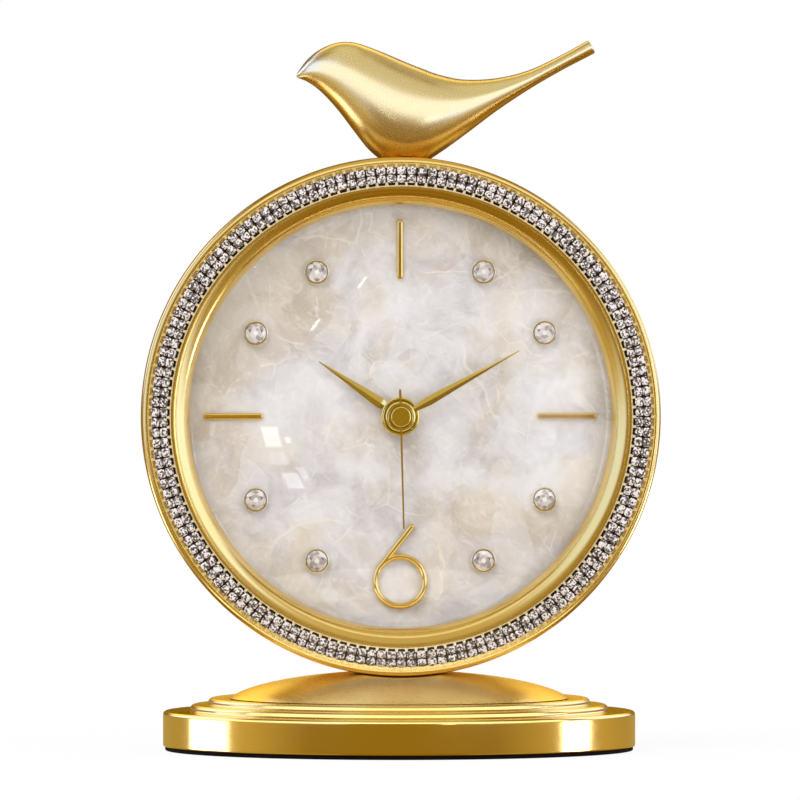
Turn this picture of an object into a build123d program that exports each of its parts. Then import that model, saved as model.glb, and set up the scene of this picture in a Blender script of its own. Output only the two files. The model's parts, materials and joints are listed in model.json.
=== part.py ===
"""Desk clock: a round drum case on a stepped dome base, with a bird on top.

A domed lens covers a shell dial with applied batons, bezel-set crystals and a wire six.
A quartz movement behind the dial turns the three hands, and its knob and battery show
in a window of the back cover.

Frame: millimetres, +Z up, the dial faces -Y, origin under the middle of the base.
"""

import os
from math import acos, atan, atan2, cos, degrees, hypot, pi, radians, sin, sqrt

from build123d import *

os.makedirs("parts", exist_ok=True)

# Fits
RUNNING_CLEARANCE = 0.06
SEAT_CLEARANCE = 0.1
FREE_CLEARANCE = 0.3
SADDLE_CLEARANCE = 0.05
THREAD_CLEARANCE = 0.05
PRESS_CLEARANCE = 0.02
END_SHAKE = 0.15

# Base
PAD_THICKNESS = 1.6
PAD_INSET = 0.8
BASE_RADIUS = 91.0
SLAB_HEIGHT = 13.6
SLAB_EDGE_ROUND = 1.4
SLAB_FOOT_ROUND = 0.6
SLAB_TREAD = 10.6
LOWER_TREAD = 6.9
UPPER_TREAD = 8.0
STEP_HEIGHT = 2.5
STEP_ROUND = 1.5
STEP_COVE = 0.8
DOME_HEIGHT = 10.5
DOME_OVERHANG = 3.2
BASE_WALL = 3.0
BASE_PLATE_THICKNESS = 2.0
BASE_PLATE_LEDGE = 2.0
BASE_BOSS_RADIUS = 8.0
BASE_BOSS_DROP = 14.0
PLATE_SCREW_COUNT = 3
PLATE_SCREW_RADIUS = 1.5
PLATE_SCREW_LENGTH = 7.0
PLATE_SCREW_HEAD_RADIUS = 3.0
PLATE_SCREW_HEAD_HEIGHT = 1.2
PLATE_BOSS_RADIUS = 4.0

# Case
CASE_RADIUS = 100.0
CASE_DEPTH = 36.0
SADDLE_DEPTH = 0.6
DRUM_STEP_IN = 1.2
DRUM_WALL = 1.8
DRUM_EDGE_ROUND = 1.0
BEZEL_FLANGE_DEPTH = 10.0
BEZEL_RIM_WIDTH = 2.0
BEZEL_RIM_LAND = 0.2
BULLNOSE_RADIUS = 7.3
BEZEL_SPIGOT_LENGTH = 1.5
BEZEL_NECK_WIDTH = 6.3
BACK_FLANGE_WIDTH = 8.0
BACK_FLANGE_THICKNESS = 1.8
BACK_COVER_THICKNESS = 1.6
BACK_COVER_INSET = 2.0
BACK_COVER_ROUND = 0.6
BACK_SCREW_COUNT = 4
BACK_SCREW_RADIUS = 1.5
BACK_SCREW_LENGTH = 5.0
BACK_SCREW_HEAD_RADIUS = 2.8
BACK_SCREW_HEAD_HEIGHT = 1.5
WINDOW_MARGIN = 0.8
WINDOW_COLLAR_WALL = 1.2
WINDOW_COLLAR_LAP = 4.0
CASE_BOLT_RADIUS = 2.5
CASE_BOLT_HEAD_RADIUS = 4.25
CASE_BOLT_HEAD_HEIGHT = 5.0
CASE_BOLT_SOCKET_RADIUS = 2.3
CASE_NUT_LENGTH = 24.0
CASE_NUT_WIDTH = 12.0
CASE_NUT_HEIGHT = 6.0
FITTING_GAP = 0.5

# Jewelled band on the bezel
BAND_DEPTH = 1.8
BAND_MARGIN = 1.6
STONE_RADIUS = 1.45
STONE_TABLE_RADIUS = 0.85
STONE_HEIGHT = 1.3
STONE_SIDES = 6
STONE_GAP = 0.95
ROW_GAP = 0.3
SETTING_FLOOR = 0.5
SETTING_HEIGHT = 1.5
SETTING_RAIL = 0.45
PRONG_LENGTH = 1.3
PRONG_SHARE = 0.32

# Lens and dial
LIP_THICKNESS = 0.7
LENS_LEDGE = 3.0
LENS_THICKNESS = 2.2
LENS_SAG = 8.0
LENS_DOME_MARGIN = 0.5
SPACER_THICKNESS = 2.1
SPACER_WALL = 2.4
SHELL_THICKNESS = 0.8
DIAL_PLATE_THICKNESS = 1.2
DIAL_CLIP_COUNT = 4
DIAL_CLIP_LENGTH = 12.0
DIAL_CLIP_WIDTH = 7.0
DIAL_CLIP_THICKNESS = 1.0
DIAL_CLIP_SCREW_RADIUS = 1.2
DIAL_CLIP_SCREW_LENGTH = 4.0
DIAL_CLIP_SCREW_HEAD_RADIUS = 2.2
DIAL_CLIP_SCREW_HEAD_HEIGHT = 1.2

# Applied hour marks
MARK_INSET = 17.2
BATON_LENGTH = 23.2
BATON_WIDTH = 2.6
BATON_HEIGHT = 1.3
BATON_ROUND = 0.9
BATON_HOURS = (12, 3, 9)
CRYSTAL_HOURS = (1, 2, 4, 5, 7, 8, 10, 11)
CUP_RADIUS = 4.75
CUP_WALL = 0.7
CUP_HEIGHT = 2.0
CUP_FLOOR = 0.5
CRYSTAL_CROWN = 0.9
CRYSTAL_TABLE_SHARE = 0.5
CRYSTAL_SIDES = 8
SIX_WIRE_RADIUS = 1.25
SIX_BOWL_RADIUS = 9.5
SIX_RAISE = 0.6
SIX_FLAT = 0.3
SIX_TAIL_SHARE = 0.96
SIX_TIP = (5.2, 22.0)

# Hands, as clock angles from twelve, in degrees
HOUR_ANGLE = 304.0
MINUTE_ANGLE = 61.0
SECOND_ANGLE = 178.5
HAND_GAP = 1.0
HUB_THICKNESS = 0.8
HUB_ROUND = 0.3
HAND_EDGE = 0.25
HAND_RIDGE = 0.9
HAND_ROOT_SHARE = 0.8
HAND_NECK_SHARE = 0.5
HAND_SHOULDER_SHARE = 0.24
HAND_TIP_WIDTH = 0.35
HOUR_LENGTH = 37.8
HOUR_WIDTH = 4.3
HOUR_HUB_RADIUS = 7.5
MINUTE_LENGTH = 52.1
MINUTE_WIDTH = 3.6
MINUTE_HUB_RADIUS = 5.8
SECOND_LENGTH = 43.2
SECOND_TAIL = 10.5
SECOND_WIDTH = 0.9
SECOND_TIP_WIDTH = 0.6
SECOND_THICKNESS = 0.6
SECOND_HUB_RADIUS = 3.85
SECOND_HUB_WALL = 0.8
SECOND_HUB_HEIGHT = 2.0
SECOND_HUB_RECESS = 1.0

# Movement
MOVEMENT_WALL = 1.2
MOVEMENT_CORNER = 3.0
MOVEMENT_SPLIT = 7.0
MOVEMENT_WASHER_THICKNESS = 1.0
MOVEMENT_WASHER_RADIUS = 9.0
BUSH_RADIUS = 4.0
BUSH_PROUD = 2.0
NUT_RADIUS = 5.8
NUT_THICKNESS = 1.8
CORNER_POST = 4.0
TRAIN_PLATE_THICKNESS = 1.0
BAY_ROOM = 1.5
BAY_DIVIDER = 1.0
CONTACT_ROOM = 3.1
CENTRE_WHEEL_ROOM = 0.45
BATTERY_RADIUS = 7.25
BATTERY_LENGTH = 49.5
BATTERY_BUTTON_RADIUS = 2.75
BATTERY_BUTTON_HEIGHT = 1.0
BATTERY_EDGE_ROUND = 0.6
CONTACT_THICKNESS = 0.4
CONTACT_WIDTH = 10.0

# Arbors and pipes, from the middle outward
SECOND_ARBOR_RADIUS = 0.5
MINUTE_PIPE_RADIUS = 1.15
HOUR_PIPE_RADIUS = 1.85
WHEEL_ARBOR_RADIUS = 0.5
MINUTE_POST_RADIUS = 0.8
FLANGE_RADIUS = 2.3
BOSS_RADIUS = 1.4
WHEEL_THICKNESS = 0.8
FLANGE_THICKNESS = 0.4
FRICTION_WASHER_THICKNESS = 0.3
LAYER_GAP = 0.5
MOTION_LAYER_STEP = 1.3
LAYER_STEP = 1.5

# Gear teeth, in modules and in shares of the tooth pitch
TOOTH_ADDENDUM = 0.75
TOOTH_DEDENDUM = 1.05
TOOTH_ROOT_SHARE = 0.25
TOOTH_TIP_SHARE = 0.09

# Gear train: tooth counts, and the pitch module of each meshing pair
CANNON_TEETH = 8
MINUTE_WHEEL_TEETH = 24
MINUTE_PINION_TEETH = 8
HOUR_WHEEL_TEETH = 32
CANNON_MODULE = 0.5
THIRD_WHEEL_TEETH = 45
THIRD_PINION_TEETH = 6
SECOND_PINION_TEETH = 6
CENTRE_WHEEL_TEETH = 48
THIRD_MODULE = 0.4
SECOND_WHEEL_TEETH = 30
STEP_PINION_TEETH = 6
STEP_WHEEL_TEETH = 36
ROTOR_PINION_TEETH = 6
STEP_MODULE = 0.45
ROTOR_MODULE = 0.3
KNOB_PINION_TEETH = 8
MINUTE_WHEEL_BEARING = 40.0
THIRD_WHEEL_BEARING = 150.0
STEP_WHEEL_BEARING = 95.0
ROTOR_BEARING = 80.0
KNOB_BEARING = 40.0

# Step motor and circuit
ROTOR_MAGNET_RADIUS = 2.6
ROTOR_MAGNET_LENGTH = 1.6
ROTOR_END_ROOM = 1.2
ROTOR_AIR_GAP = 0.6
STATOR_THICKNESS = 0.8
STATOR_LENGTH = 30.0
STATOR_RING_RADIUS = 4.9
STATOR_BAR_WIDTH = 4.4
STATOR_LEG_WIDTH = 5.0
COIL_RADIUS = 2.5
COIL_LENGTH = 16.0
COIL_FLANGE_RADIUS = 2.8
COIL_FLANGE_THICKNESS = 1.0
COIL_CORE_WIDTH = 3.0
COIL_CORE_THICKNESS = 1.0
BOARD_LENGTH = 18.0
BOARD_WIDTH = 10.0
BOARD_THICKNESS = 0.8
BOARD_RAISE = 2.0
CHIP_RADIUS = 2.5
CHIP_HEIGHT = 0.8
OSCILLATOR_RADIUS = 1.0
OSCILLATOR_LENGTH = 6.0

# Setting knob
KNOB_RADIUS = 6.0
KNOB_HEIGHT = 2.6
KNOB_SHAFT_RADIUS = 1.3
KNOB_GAP = 0.4
KNOB_RIBS = 24
KNOB_RIB_RADIUS = 0.35

# Bird, as stations along X: distance from the case axis, top, bottom and width.
# Heights are above the top of the drum.
BIRD_STATIONS = (
    (-39.5, 32.9, 31.7, 0.8),
    (-37.7, 35.6, 30.9, 5.6),
    (-34.9, 39.0, 29.6, 10.6),
    (-30.3, 42.5, 26.2, 15.8),
    (-24.1, 44.9, 19.6, 20.6),
    (-17.9, 45.1, 11.5, 24.4),
    (-11.7, 43.3, 3.7, 27.2),
    (-5.5, 40.9, -1.0, 28.8),
    (1.5, 37.9, -3.4, 29.4),
    (8.5, 35.1, -1.8, 28.6),
    (16.2, 32.4, 2.8, 26.2),
    (25.5, 30.7, 9.5, 22.2),
    (37.9, 31.3, 18.8, 16.8),
    (50.3, 34.4, 27.0, 12.0),
    (62.7, 40.2, 34.2, 9.0),
    (72.0, 45.3, 39.0, 8.0),
    (78.6, 49.1, 42.6, 7.6),
)
BIRD_TAIL_END = (74.4, 43.2)
BIRD_TAIL_RISE = 29.0
BIRD_CUT = 60.0
BIRD_FOOT_X = 2.6
BIRD_SCREW_RADIUS = 2.0
BIRD_SCREW_DEPTH = 12.0
BIRD_SCREW_HEAD_RADIUS = 3.5
BIRD_SCREW_HEAD_HEIGHT = 2.4
BIRD_WASHER_LENGTH = 14.0
BIRD_WASHER_WIDTH = 12.0
BIRD_WASHER_HEIGHT = 3.0

# Heights of the base, from the floor up
slab_bottom = PAD_THICKNESS
slab_top = slab_bottom + SLAB_HEIGHT
lower_step_top = slab_top + STEP_HEIGHT
dome_foot = lower_step_top + STEP_HEIGHT
dome_top = dome_foot + DOME_HEIGHT
drum_radius = CASE_RADIUS - DRUM_STEP_IN
drum_inner_radius = drum_radius - DRUM_WALL
case_axis_height = dome_top + drum_radius - SADDLE_DEPTH
plate_top = slab_bottom + BASE_PLATE_THICKNESS
boss_bottom = dome_top - BASE_BOSS_DROP
lower_step_radius = BASE_RADIUS - SLAB_TREAD
upper_step_radius = lower_step_radius - LOWER_TREAD
dome_radius = upper_step_radius - UPPER_TREAD
plate_recess_radius = BASE_RADIUS - BASE_WALL
dome_cavity_radius = dome_radius - BASE_WALL
plate_screw_circle = (dome_cavity_radius + plate_recess_radius - BASE_PLATE_LEDGE) / 2
dome_curve_radius = dome_radius + DOME_OVERHANG
dome_start = degrees(acos(dome_radius / dome_curve_radius))
dome_curve_height = DOME_HEIGHT / (1 - sin(radians(dome_start)))
dome_curve_middle = dome_top - dome_curve_height
ceiling_radius = dome_curve_radius - BASE_WALL
ceiling_height = dome_curve_height - BASE_WALL
ceiling_start = degrees(acos(dome_cavity_radius / ceiling_radius))
ceiling_end = degrees(acos(BASE_BOSS_RADIUS / ceiling_radius))
ceiling_foot = dome_curve_middle + ceiling_height * sin(radians(ceiling_start))
drum_top = case_axis_height + drum_radius
case_nut_top = case_axis_height - drum_inner_radius + CASE_NUT_HEIGHT
bird_washer_bottom = case_axis_height + drum_inner_radius - BIRD_WASHER_HEIGHT
bird_screw_top = drum_top + BIRD_SCREW_DEPTH - FREE_CLEARANCE

# Depths of the case along Y, from the front back
bezel_front = -CASE_DEPTH / 2
bezel_back = bezel_front + BEZEL_FLANGE_DEPTH
spigot_back = bezel_back + BEZEL_SPIGOT_LENGTH
fitting_front = spigot_back + FITTING_GAP
cover_back = CASE_DEPTH / 2
cover_front = cover_back - BACK_COVER_THICKNESS
back_flange_front = cover_front - BACK_FLANGE_THICKNESS
lens_front = bezel_front + BULLNOSE_RADIUS + LIP_THICKNESS
lens_back = lens_front + LENS_THICKNESS
dial_front = lens_back + SPACER_THICKNESS
shell_back = dial_front + SHELL_THICKNESS
dial_back = shell_back + DIAL_PLATE_THICKNESS
movement_front = dial_back + MOVEMENT_WASHER_THICKNESS
train_front = movement_front + MOVEMENT_WALL
movement_split = movement_front + MOVEMENT_SPLIT

# Radii of the case, its band of stones and the lens
row_spacing = 2 * STONE_RADIUS + ROW_GAP
band_width = row_spacing + 2 * STONE_RADIUS + 2 * BAND_MARGIN
band_outer_radius = CASE_RADIUS - BEZEL_RIM_WIDTH
band_inner_radius = band_outer_radius - band_width
visible_radius = band_inner_radius - BULLNOSE_RADIUS
lens_seat_radius = visible_radius + LENS_LEDGE
back_flange_radius = drum_radius - BACK_FLANGE_WIDTH
back_screw_circle = (back_flange_radius + drum_radius - BACK_COVER_INSET) / 2
spigot_radius = drum_inner_radius - SEAT_CLEARANCE
bezel_neck_radius = lens_seat_radius + BEZEL_NECK_WIDTH
dial_clip_screw_circle = lens_seat_radius + BEZEL_NECK_WIDTH / 2
setting_outer_radius = band_outer_radius - SEAT_CLEARANCE
setting_inner_radius = band_inner_radius + SEAT_CLEARANCE
outer_row_radius = (band_inner_radius + band_outer_radius + row_spacing) / 2
inner_row_radius = outer_row_radius - row_spacing
stones_per_row = round(2 * pi * inner_row_radius / (2 * STONE_RADIUS + STONE_GAP))
band_floor = bezel_front + BAND_DEPTH
stone_back = band_floor - SETTING_FLOOR - SEAT_CLEARANCE
stone_inset = (STONE_RADIUS - STONE_TABLE_RADIUS) * cos(pi / STONE_SIDES)
stone_taper = degrees(atan(stone_inset / STONE_HEIGHT))
lens_rim_radius = lens_seat_radius - SEAT_CLEARANCE
lens_dome_radius = visible_radius - LENS_DOME_MARGIN
lens_curve = (lens_dome_radius**2 + LENS_SAG**2) / (2 * LENS_SAG)
lens_mid_sag = LENS_SAG - lens_curve + sqrt(lens_curve**2 - lens_dome_radius**2 / 4)

# Dial furniture
mark_circle = visible_radius - MARK_INSET
six_drop = mark_circle - SIX_RAISE
crystal_radius = CUP_RADIUS - CUP_WALL - SEAT_CLEARANCE
crystal_back = dial_front - CUP_FLOOR - SEAT_CLEARANCE
crystal_girdle = CUP_HEIGHT - CUP_FLOOR - SEAT_CLEARANCE
crystal_inset = crystal_radius * (1 - CRYSTAL_TABLE_SHARE) * cos(pi / CRYSTAL_SIDES)
crystal_taper = degrees(atan(crystal_inset / CRYSTAL_CROWN))
six_depth = dial_front - SIX_WIRE_RADIUS + SIX_FLAT
six_tail_radius = SIX_TAIL_SHARE * SIX_WIRE_RADIUS
six_reach = hypot(*SIX_TIP)
six_tail_length = sqrt(six_reach**2 - SIX_BOWL_RADIUS**2)
six_touch = atan2(SIX_TIP[1], SIX_TIP[0]) + acos(SIX_BOWL_RADIUS / six_reach)
six_tail_plane = Plane(
    origin=(
        SIX_BOWL_RADIUS * cos(six_touch),
        six_depth,
        case_axis_height - six_drop + SIX_BOWL_RADIUS * sin(six_touch),
    ),
    x_dir=(sin(six_touch), 0, -cos(six_touch)),
    z_dir=(cos(six_touch), 0, sin(six_touch)),
)

# Depths of the hands, from the dial forward
hour_back = dial_front - NUT_THICKNESS - HAND_GAP
hour_front = hour_back - HUB_THICKNESS
minute_back = hour_front - HAND_GAP
minute_front = minute_back - HUB_THICKNESS
second_back = minute_front - HAND_GAP
second_front = second_back - SECOND_HUB_HEIGHT

second_arbor_front = second_front + SECOND_HUB_RECESS
bush_front = dial_front - BUSH_PROUD

# Depths of the gear layers, each at its front face
hour_layer = train_front + LAYER_GAP
minute_layer = hour_layer + MOTION_LAYER_STEP
plate_layer = minute_layer + WHEEL_THICKNESS + LAYER_GAP
centre_layer = plate_layer + TRAIN_PLATE_THICKNESS + FLANGE_THICKNESS + 2 * END_SHAKE
third_layer = centre_layer + LAYER_STEP
second_layer = third_layer + LAYER_STEP
step_layer = second_layer + LAYER_STEP
rotor_layer = step_layer + LAYER_STEP
train_back = rotor_layer + ROTOR_MAGNET_LENGTH + ROTOR_END_ROOM
movement_back = train_back + MOVEMENT_WALL
flange_front = plate_layer + TRAIN_PLATE_THICKNESS + END_SHAKE
minute_pipe_back = centre_layer + WHEEL_THICKNESS + END_SHAKE + FRICTION_WASHER_THICKNESS
knob_back = movement_back + KNOB_GAP + KNOB_HEIGHT
arbor_bore = WHEEL_ARBOR_RADIUS + RUNNING_CLEARANCE
second_bore = SECOND_ARBOR_RADIUS + RUNNING_CLEARANCE
hour_pipe_bore = HOUR_PIPE_RADIUS + RUNNING_CLEARANCE

# Centre distances of the meshing pairs, and the modules that share them
minute_distance = CANNON_MODULE * (CANNON_TEETH + MINUTE_WHEEL_TEETH) / 2
hour_module = 2 * minute_distance / (MINUTE_PINION_TEETH + HOUR_WHEEL_TEETH)
third_distance = THIRD_MODULE * (SECOND_PINION_TEETH + THIRD_WHEEL_TEETH) / 2
centre_module = 2 * third_distance / (THIRD_PINION_TEETH + CENTRE_WHEEL_TEETH)
step_distance = STEP_MODULE * (STEP_PINION_TEETH + SECOND_WHEEL_TEETH) / 2
rotor_distance = ROTOR_MODULE * (ROTOR_PINION_TEETH + STEP_WHEEL_TEETH) / 2
knob_distance = CANNON_MODULE * (KNOB_PINION_TEETH + MINUTE_WHEEL_TEETH) / 2

case_axis = Axis((0, 0, case_axis_height), (0, 1, 0))
case_section = Plane(origin=(0, 0, case_axis_height), x_dir=(0, 1, 0), z_dir=(1, 0, 0))


def save(piece, label):
    """Labels a finished piece and writes its STEP file."""
    piece.part.label = label
    export_step(piece.part, f"parts/{label}.step")


def front_plane(depth, angle=0.0):
    """A plane across the case axis that faces the viewer, its Y turned to a clock angle."""
    turn = radians(angle)
    return Plane(
        origin=(0, depth, case_axis_height),
        x_dir=(cos(turn), 0, -sin(turn)),
        z_dir=(0, -1, 0),
    )


def on_clock(radius, angle):
    """A point of a front plane, at a clock angle from twelve."""
    return (radius * sin(radians(angle)), radius * cos(radians(angle)))


def from_point(start, distance, bearing):
    """The point at a distance and bearing from another, bearings from +X, anticlockwise."""
    turn = radians(bearing)
    return (start[0] + distance * cos(turn), start[1] + distance * sin(turn))


def tip_radius(teeth, module):
    """The radius of a gear at the tips of its teeth."""
    return module * (teeth / 2 + TOOTH_ADDENDUM)


centre_point = (0.0, 0.0)
minute_point = from_point(centre_point, minute_distance, MINUTE_WHEEL_BEARING)
third_point = from_point(centre_point, third_distance, THIRD_WHEEL_BEARING)
step_point = from_point(centre_point, step_distance, STEP_WHEEL_BEARING)
rotor_point = from_point(step_point, rotor_distance, ROTOR_BEARING)
knob_point = from_point(minute_point, knob_distance, KNOB_BEARING)


# Chambers of the movement, in the front plane
chamber_half = (BATTERY_LENGTH + BATTERY_BUTTON_HEIGHT + CONTACT_ROOM) / 2
chamber_top = chamber_half
chamber_bottom = -tip_radius(CENTRE_WHEEL_TEETH, centre_module) - CENTRE_WHEEL_ROOM
bay_height = 2 * BATTERY_RADIUS + BAY_ROOM
bay_middle = chamber_bottom - BAY_DIVIDER - bay_height / 2
bay_bottom = bay_middle - bay_height / 2
inside_middle = (chamber_top + bay_bottom) / 2
inside_height = chamber_top - bay_bottom
movement_width = 2 * chamber_half + 2 * MOVEMENT_WALL
movement_height = inside_height + 2 * MOVEMENT_WALL
window_width = movement_width + 2 * WINDOW_MARGIN
window_height = movement_height + 2 * WINDOW_MARGIN
battery_depth = train_front + SEAT_CLEARANCE + BATTERY_RADIUS
battery_end = chamber_half - CONTACT_THICKNESS - PRESS_CLEARANCE
battery_start = battery_end - BATTERY_BUTTON_HEIGHT - BATTERY_LENGTH
battery_plane = Plane(
    origin=(battery_start, battery_depth, case_axis_height + bay_middle),
    x_dir=(0, 1, 0),
    z_dir=(1, 0, 0),
)
leaf_wall = CONTACT_THICKNESS / 2 - chamber_half
leaf_tip = battery_start - CONTACT_THICKNESS
stator_front = rotor_layer + (ROTOR_MAGNET_LENGTH - STATOR_THICKNESS) / 2
stator_bar_bottom = knob_point[1] + KNOB_SHAFT_RADIUS + 2 * LAYER_GAP
stator_bar_top = stator_bar_bottom + STATOR_BAR_WIDTH
coil_height = chamber_top - COIL_FLANGE_RADIUS - FREE_CLEARANCE
coil_plane = Plane(
    origin=(
        rotor_point[0] - COIL_LENGTH / 2,
        stator_front - COIL_CORE_THICKNESS / 2,
        case_axis_height + coil_height,
    ),
    x_dir=(0, 1, 0),
    z_dir=(1, 0, 0),
)
board_middle = (
    BOARD_WIDTH / 2 + FREE_CLEARANCE - chamber_half,
    (chamber_bottom + chamber_top) / 2 + BOARD_RAISE,
)
oscillator_plane = Plane(
    origin=(
        board_middle[0],
        train_back - BOARD_THICKNESS - OSCILLATOR_RADIUS - PRESS_CLEARANCE,
        case_axis_height + board_middle[1] + BOARD_LENGTH / 8,
    ),
    x_dir=(1, 0, 0),
    z_dir=(0, 0, 1),
)
bird_tail_plane = Plane(
    origin=(BIRD_TAIL_END[0], 0, drum_top + BIRD_TAIL_END[1]),
    x_dir=(0, 1, 0),
    z_dir=(cos(radians(BIRD_TAIL_RISE)), 0, sin(radians(BIRD_TAIL_RISE))),
)


def turned_ring(inner, outer, front, back):
    """A plain ring about the case axis, added to the part being built."""
    with BuildSketch(case_section) as section:
        with Locations(((front + back) / 2, (inner + outer) / 2)):
            Rectangle(back - front, outer - inner)
    revolve(section.sketch, axis=case_axis)


def round_bar(centre, radius, front, back, mode=Mode.ADD):
    """A round bar along Y at a point of the front plane."""
    with BuildSketch(front_plane(back)) as section:
        with Locations(centre):
            Circle(radius)
    extrude(section.sketch, amount=back - front, mode=mode)


def gear(centre, teeth, module, front, thickness, phase=0.0, bore=0.0):
    """A spur gear about Y, added to the part. One tooth points along the phase bearing."""
    tip = tip_radius(teeth, module)
    root = module * (teeth / 2 - TOOTH_DEDENDUM)
    tooth = 360 / teeth
    corners = []
    for index in range(teeth):
        middle = phase + index * tooth
        for radius, offset in (
            (root, -TOOTH_ROOT_SHARE * tooth),
            (tip, -TOOTH_TIP_SHARE * tooth),
            (tip, TOOTH_TIP_SHARE * tooth),
            (root, TOOTH_ROOT_SHARE * tooth),
        ):
            corners.append(from_point(centre, radius, middle + offset))
    with BuildSketch(front_plane(front + thickness)) as section:
        with BuildLine():
            Polyline(*corners, close=True)
        make_face()
        if bore:
            with Locations(centre):
                Circle(bore, mode=Mode.SUBTRACT)
    extrude(section.sketch, amount=thickness)


def meshing_phase(phase, teeth, mate_teeth, bearing):
    """The mate's phase at which its gap takes the tooth at that phase, along a bearing."""
    tooth_offset = (bearing - phase) * teeth
    return bearing + 180 + (180 + tooth_offset) / mate_teeth


def comb_outline(radius, length):
    """A ring of straight rails with a prong across the middle of each gap between stones."""
    pitch = 360 / stones_per_row
    outline = []
    for index in range(stones_per_row):
        middle = 90 + (index + 0.5) * pitch
        for reach, offset in (
            (radius, -PRONG_SHARE * pitch / 2),
            (radius + length, -PRONG_SHARE * pitch / 3),
            (radius + length, PRONG_SHARE * pitch / 3),
            (radius, PRONG_SHARE * pitch / 2),
        ):
            outline.append(from_point((0, 0), reach, middle + offset))
    return outline


# Phases of the gears at rest, each mate turned so that teeth meet gaps
cannon_phase = 0.0
minute_wheel_phase = meshing_phase(
    cannon_phase, CANNON_TEETH, MINUTE_WHEEL_TEETH, MINUTE_WHEEL_BEARING
)
knob_phase = meshing_phase(
    minute_wheel_phase, MINUTE_WHEEL_TEETH, KNOB_PINION_TEETH, KNOB_BEARING
)
minute_pinion_phase = 0.0
hour_wheel_phase = meshing_phase(
    minute_pinion_phase, MINUTE_PINION_TEETH, HOUR_WHEEL_TEETH, MINUTE_WHEEL_BEARING + 180
)
second_pinion_phase = 0.0
third_wheel_phase = meshing_phase(
    second_pinion_phase, SECOND_PINION_TEETH, THIRD_WHEEL_TEETH, THIRD_WHEEL_BEARING
)
third_pinion_phase = 0.0
centre_wheel_phase = meshing_phase(
    third_pinion_phase, THIRD_PINION_TEETH, CENTRE_WHEEL_TEETH, THIRD_WHEEL_BEARING + 180
)
second_wheel_phase = 0.0
step_pinion_phase = meshing_phase(
    second_wheel_phase, SECOND_WHEEL_TEETH, STEP_PINION_TEETH, STEP_WHEEL_BEARING
)
step_wheel_phase = 0.0
rotor_pinion_phase = meshing_phase(
    step_wheel_phase, STEP_WHEEL_TEETH, ROTOR_PINION_TEETH, ROTOR_BEARING
)

# Base shell: one turned profile, hollow from below, with a saddle for the drum in its top
with BuildPart() as base_shell:
    with BuildSketch(Plane.XZ) as base_profile:
        with BuildLine():
            Polyline(
                (0, slab_bottom),
                (BASE_RADIUS, slab_bottom),
                (BASE_RADIUS, slab_top),
                (lower_step_radius, slab_top),
                (lower_step_radius, lower_step_top),
                (upper_step_radius, lower_step_top),
                (upper_step_radius, dome_foot),
                (dome_radius, dome_foot),
            )
            EllipticalCenterArc(
                (0, dome_curve_middle),
                dome_curve_radius,
                dome_curve_height,
                start_angle=dome_start,
                arc_size=90 - dome_start,
            )
            Line((0, dome_top), (0, slab_bottom))
        make_face()
        corners = base_profile.vertices()
        step_corners = [
            corners.sort_by_distance((lower_step_radius, lower_step_top))[0],
            corners.sort_by_distance((upper_step_radius, dome_foot))[0],
        ]
        fillet(step_corners, STEP_ROUND)
        corners = base_profile.vertices()
        step_hollows = [
            corners.sort_by_distance((lower_step_radius, slab_top))[0],
            corners.sort_by_distance((upper_step_radius, lower_step_top))[0],
        ]
        fillet(step_hollows, STEP_COVE)
        corners = base_profile.vertices()
        fillet(corners.sort_by_distance((BASE_RADIUS, slab_top))[0], SLAB_EDGE_ROUND)
        corners = base_profile.vertices()
        fillet(corners.sort_by_distance((BASE_RADIUS, slab_bottom))[0], SLAB_FOOT_ROUND)
    revolve(axis=Axis.Z)
    with BuildSketch(Plane.XZ):
        with BuildLine():
            Polyline(
                (BASE_BOSS_RADIUS, boss_bottom),
                (0, boss_bottom),
                (0, slab_bottom),
                (plate_recess_radius, slab_bottom),
                (plate_recess_radius, plate_top),
                (plate_recess_radius - BASE_PLATE_LEDGE, plate_top),
                (plate_recess_radius - BASE_PLATE_LEDGE, slab_top - BASE_WALL),
                (dome_cavity_radius, slab_top - BASE_WALL),
                (dome_cavity_radius, ceiling_foot),
            )
            dome_ceiling = EllipticalCenterArc(
                (0, dome_curve_middle),
                ceiling_radius,
                ceiling_height,
                start_angle=ceiling_start,
                arc_size=ceiling_end - ceiling_start,
            )
            Line(dome_ceiling @ 1, (BASE_BOSS_RADIUS, boss_bottom))
        make_face()
    revolve(axis=Axis.Z, mode=Mode.SUBTRACT)
    with BuildSketch(Plane.XY.offset(plate_top)):
        with PolarLocations(plate_screw_circle, PLATE_SCREW_COUNT):
            Circle(PLATE_BOSS_RADIUS)
    extrude(amount=slab_top - BASE_WALL / 2 - plate_top)
    with BuildSketch(Plane.XY.offset(plate_top)):
        with PolarLocations(plate_screw_circle, PLATE_SCREW_COUNT):
            Circle(PLATE_SCREW_RADIUS + THREAD_CLEARANCE)
    extrude(amount=PLATE_SCREW_LENGTH, mode=Mode.SUBTRACT)
    with BuildSketch(Plane.XY.offset(boss_bottom)):
        Circle(CASE_BOLT_RADIUS + SEAT_CLEARANCE)
    extrude(amount=BASE_BOSS_DROP + DOME_HEIGHT, mode=Mode.SUBTRACT)
    with BuildSketch(front_plane(dome_radius)):
        Circle(drum_radius + SADDLE_CLEARANCE)
    extrude(amount=2 * dome_radius, mode=Mode.SUBTRACT)
    with BuildSketch(front_plane(bezel_back + FREE_CLEARANCE)):
        Circle(CASE_RADIUS + FREE_CLEARANCE)
    extrude(amount=dome_radius, mode=Mode.SUBTRACT)
save(base_shell, "base_shell")

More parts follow.
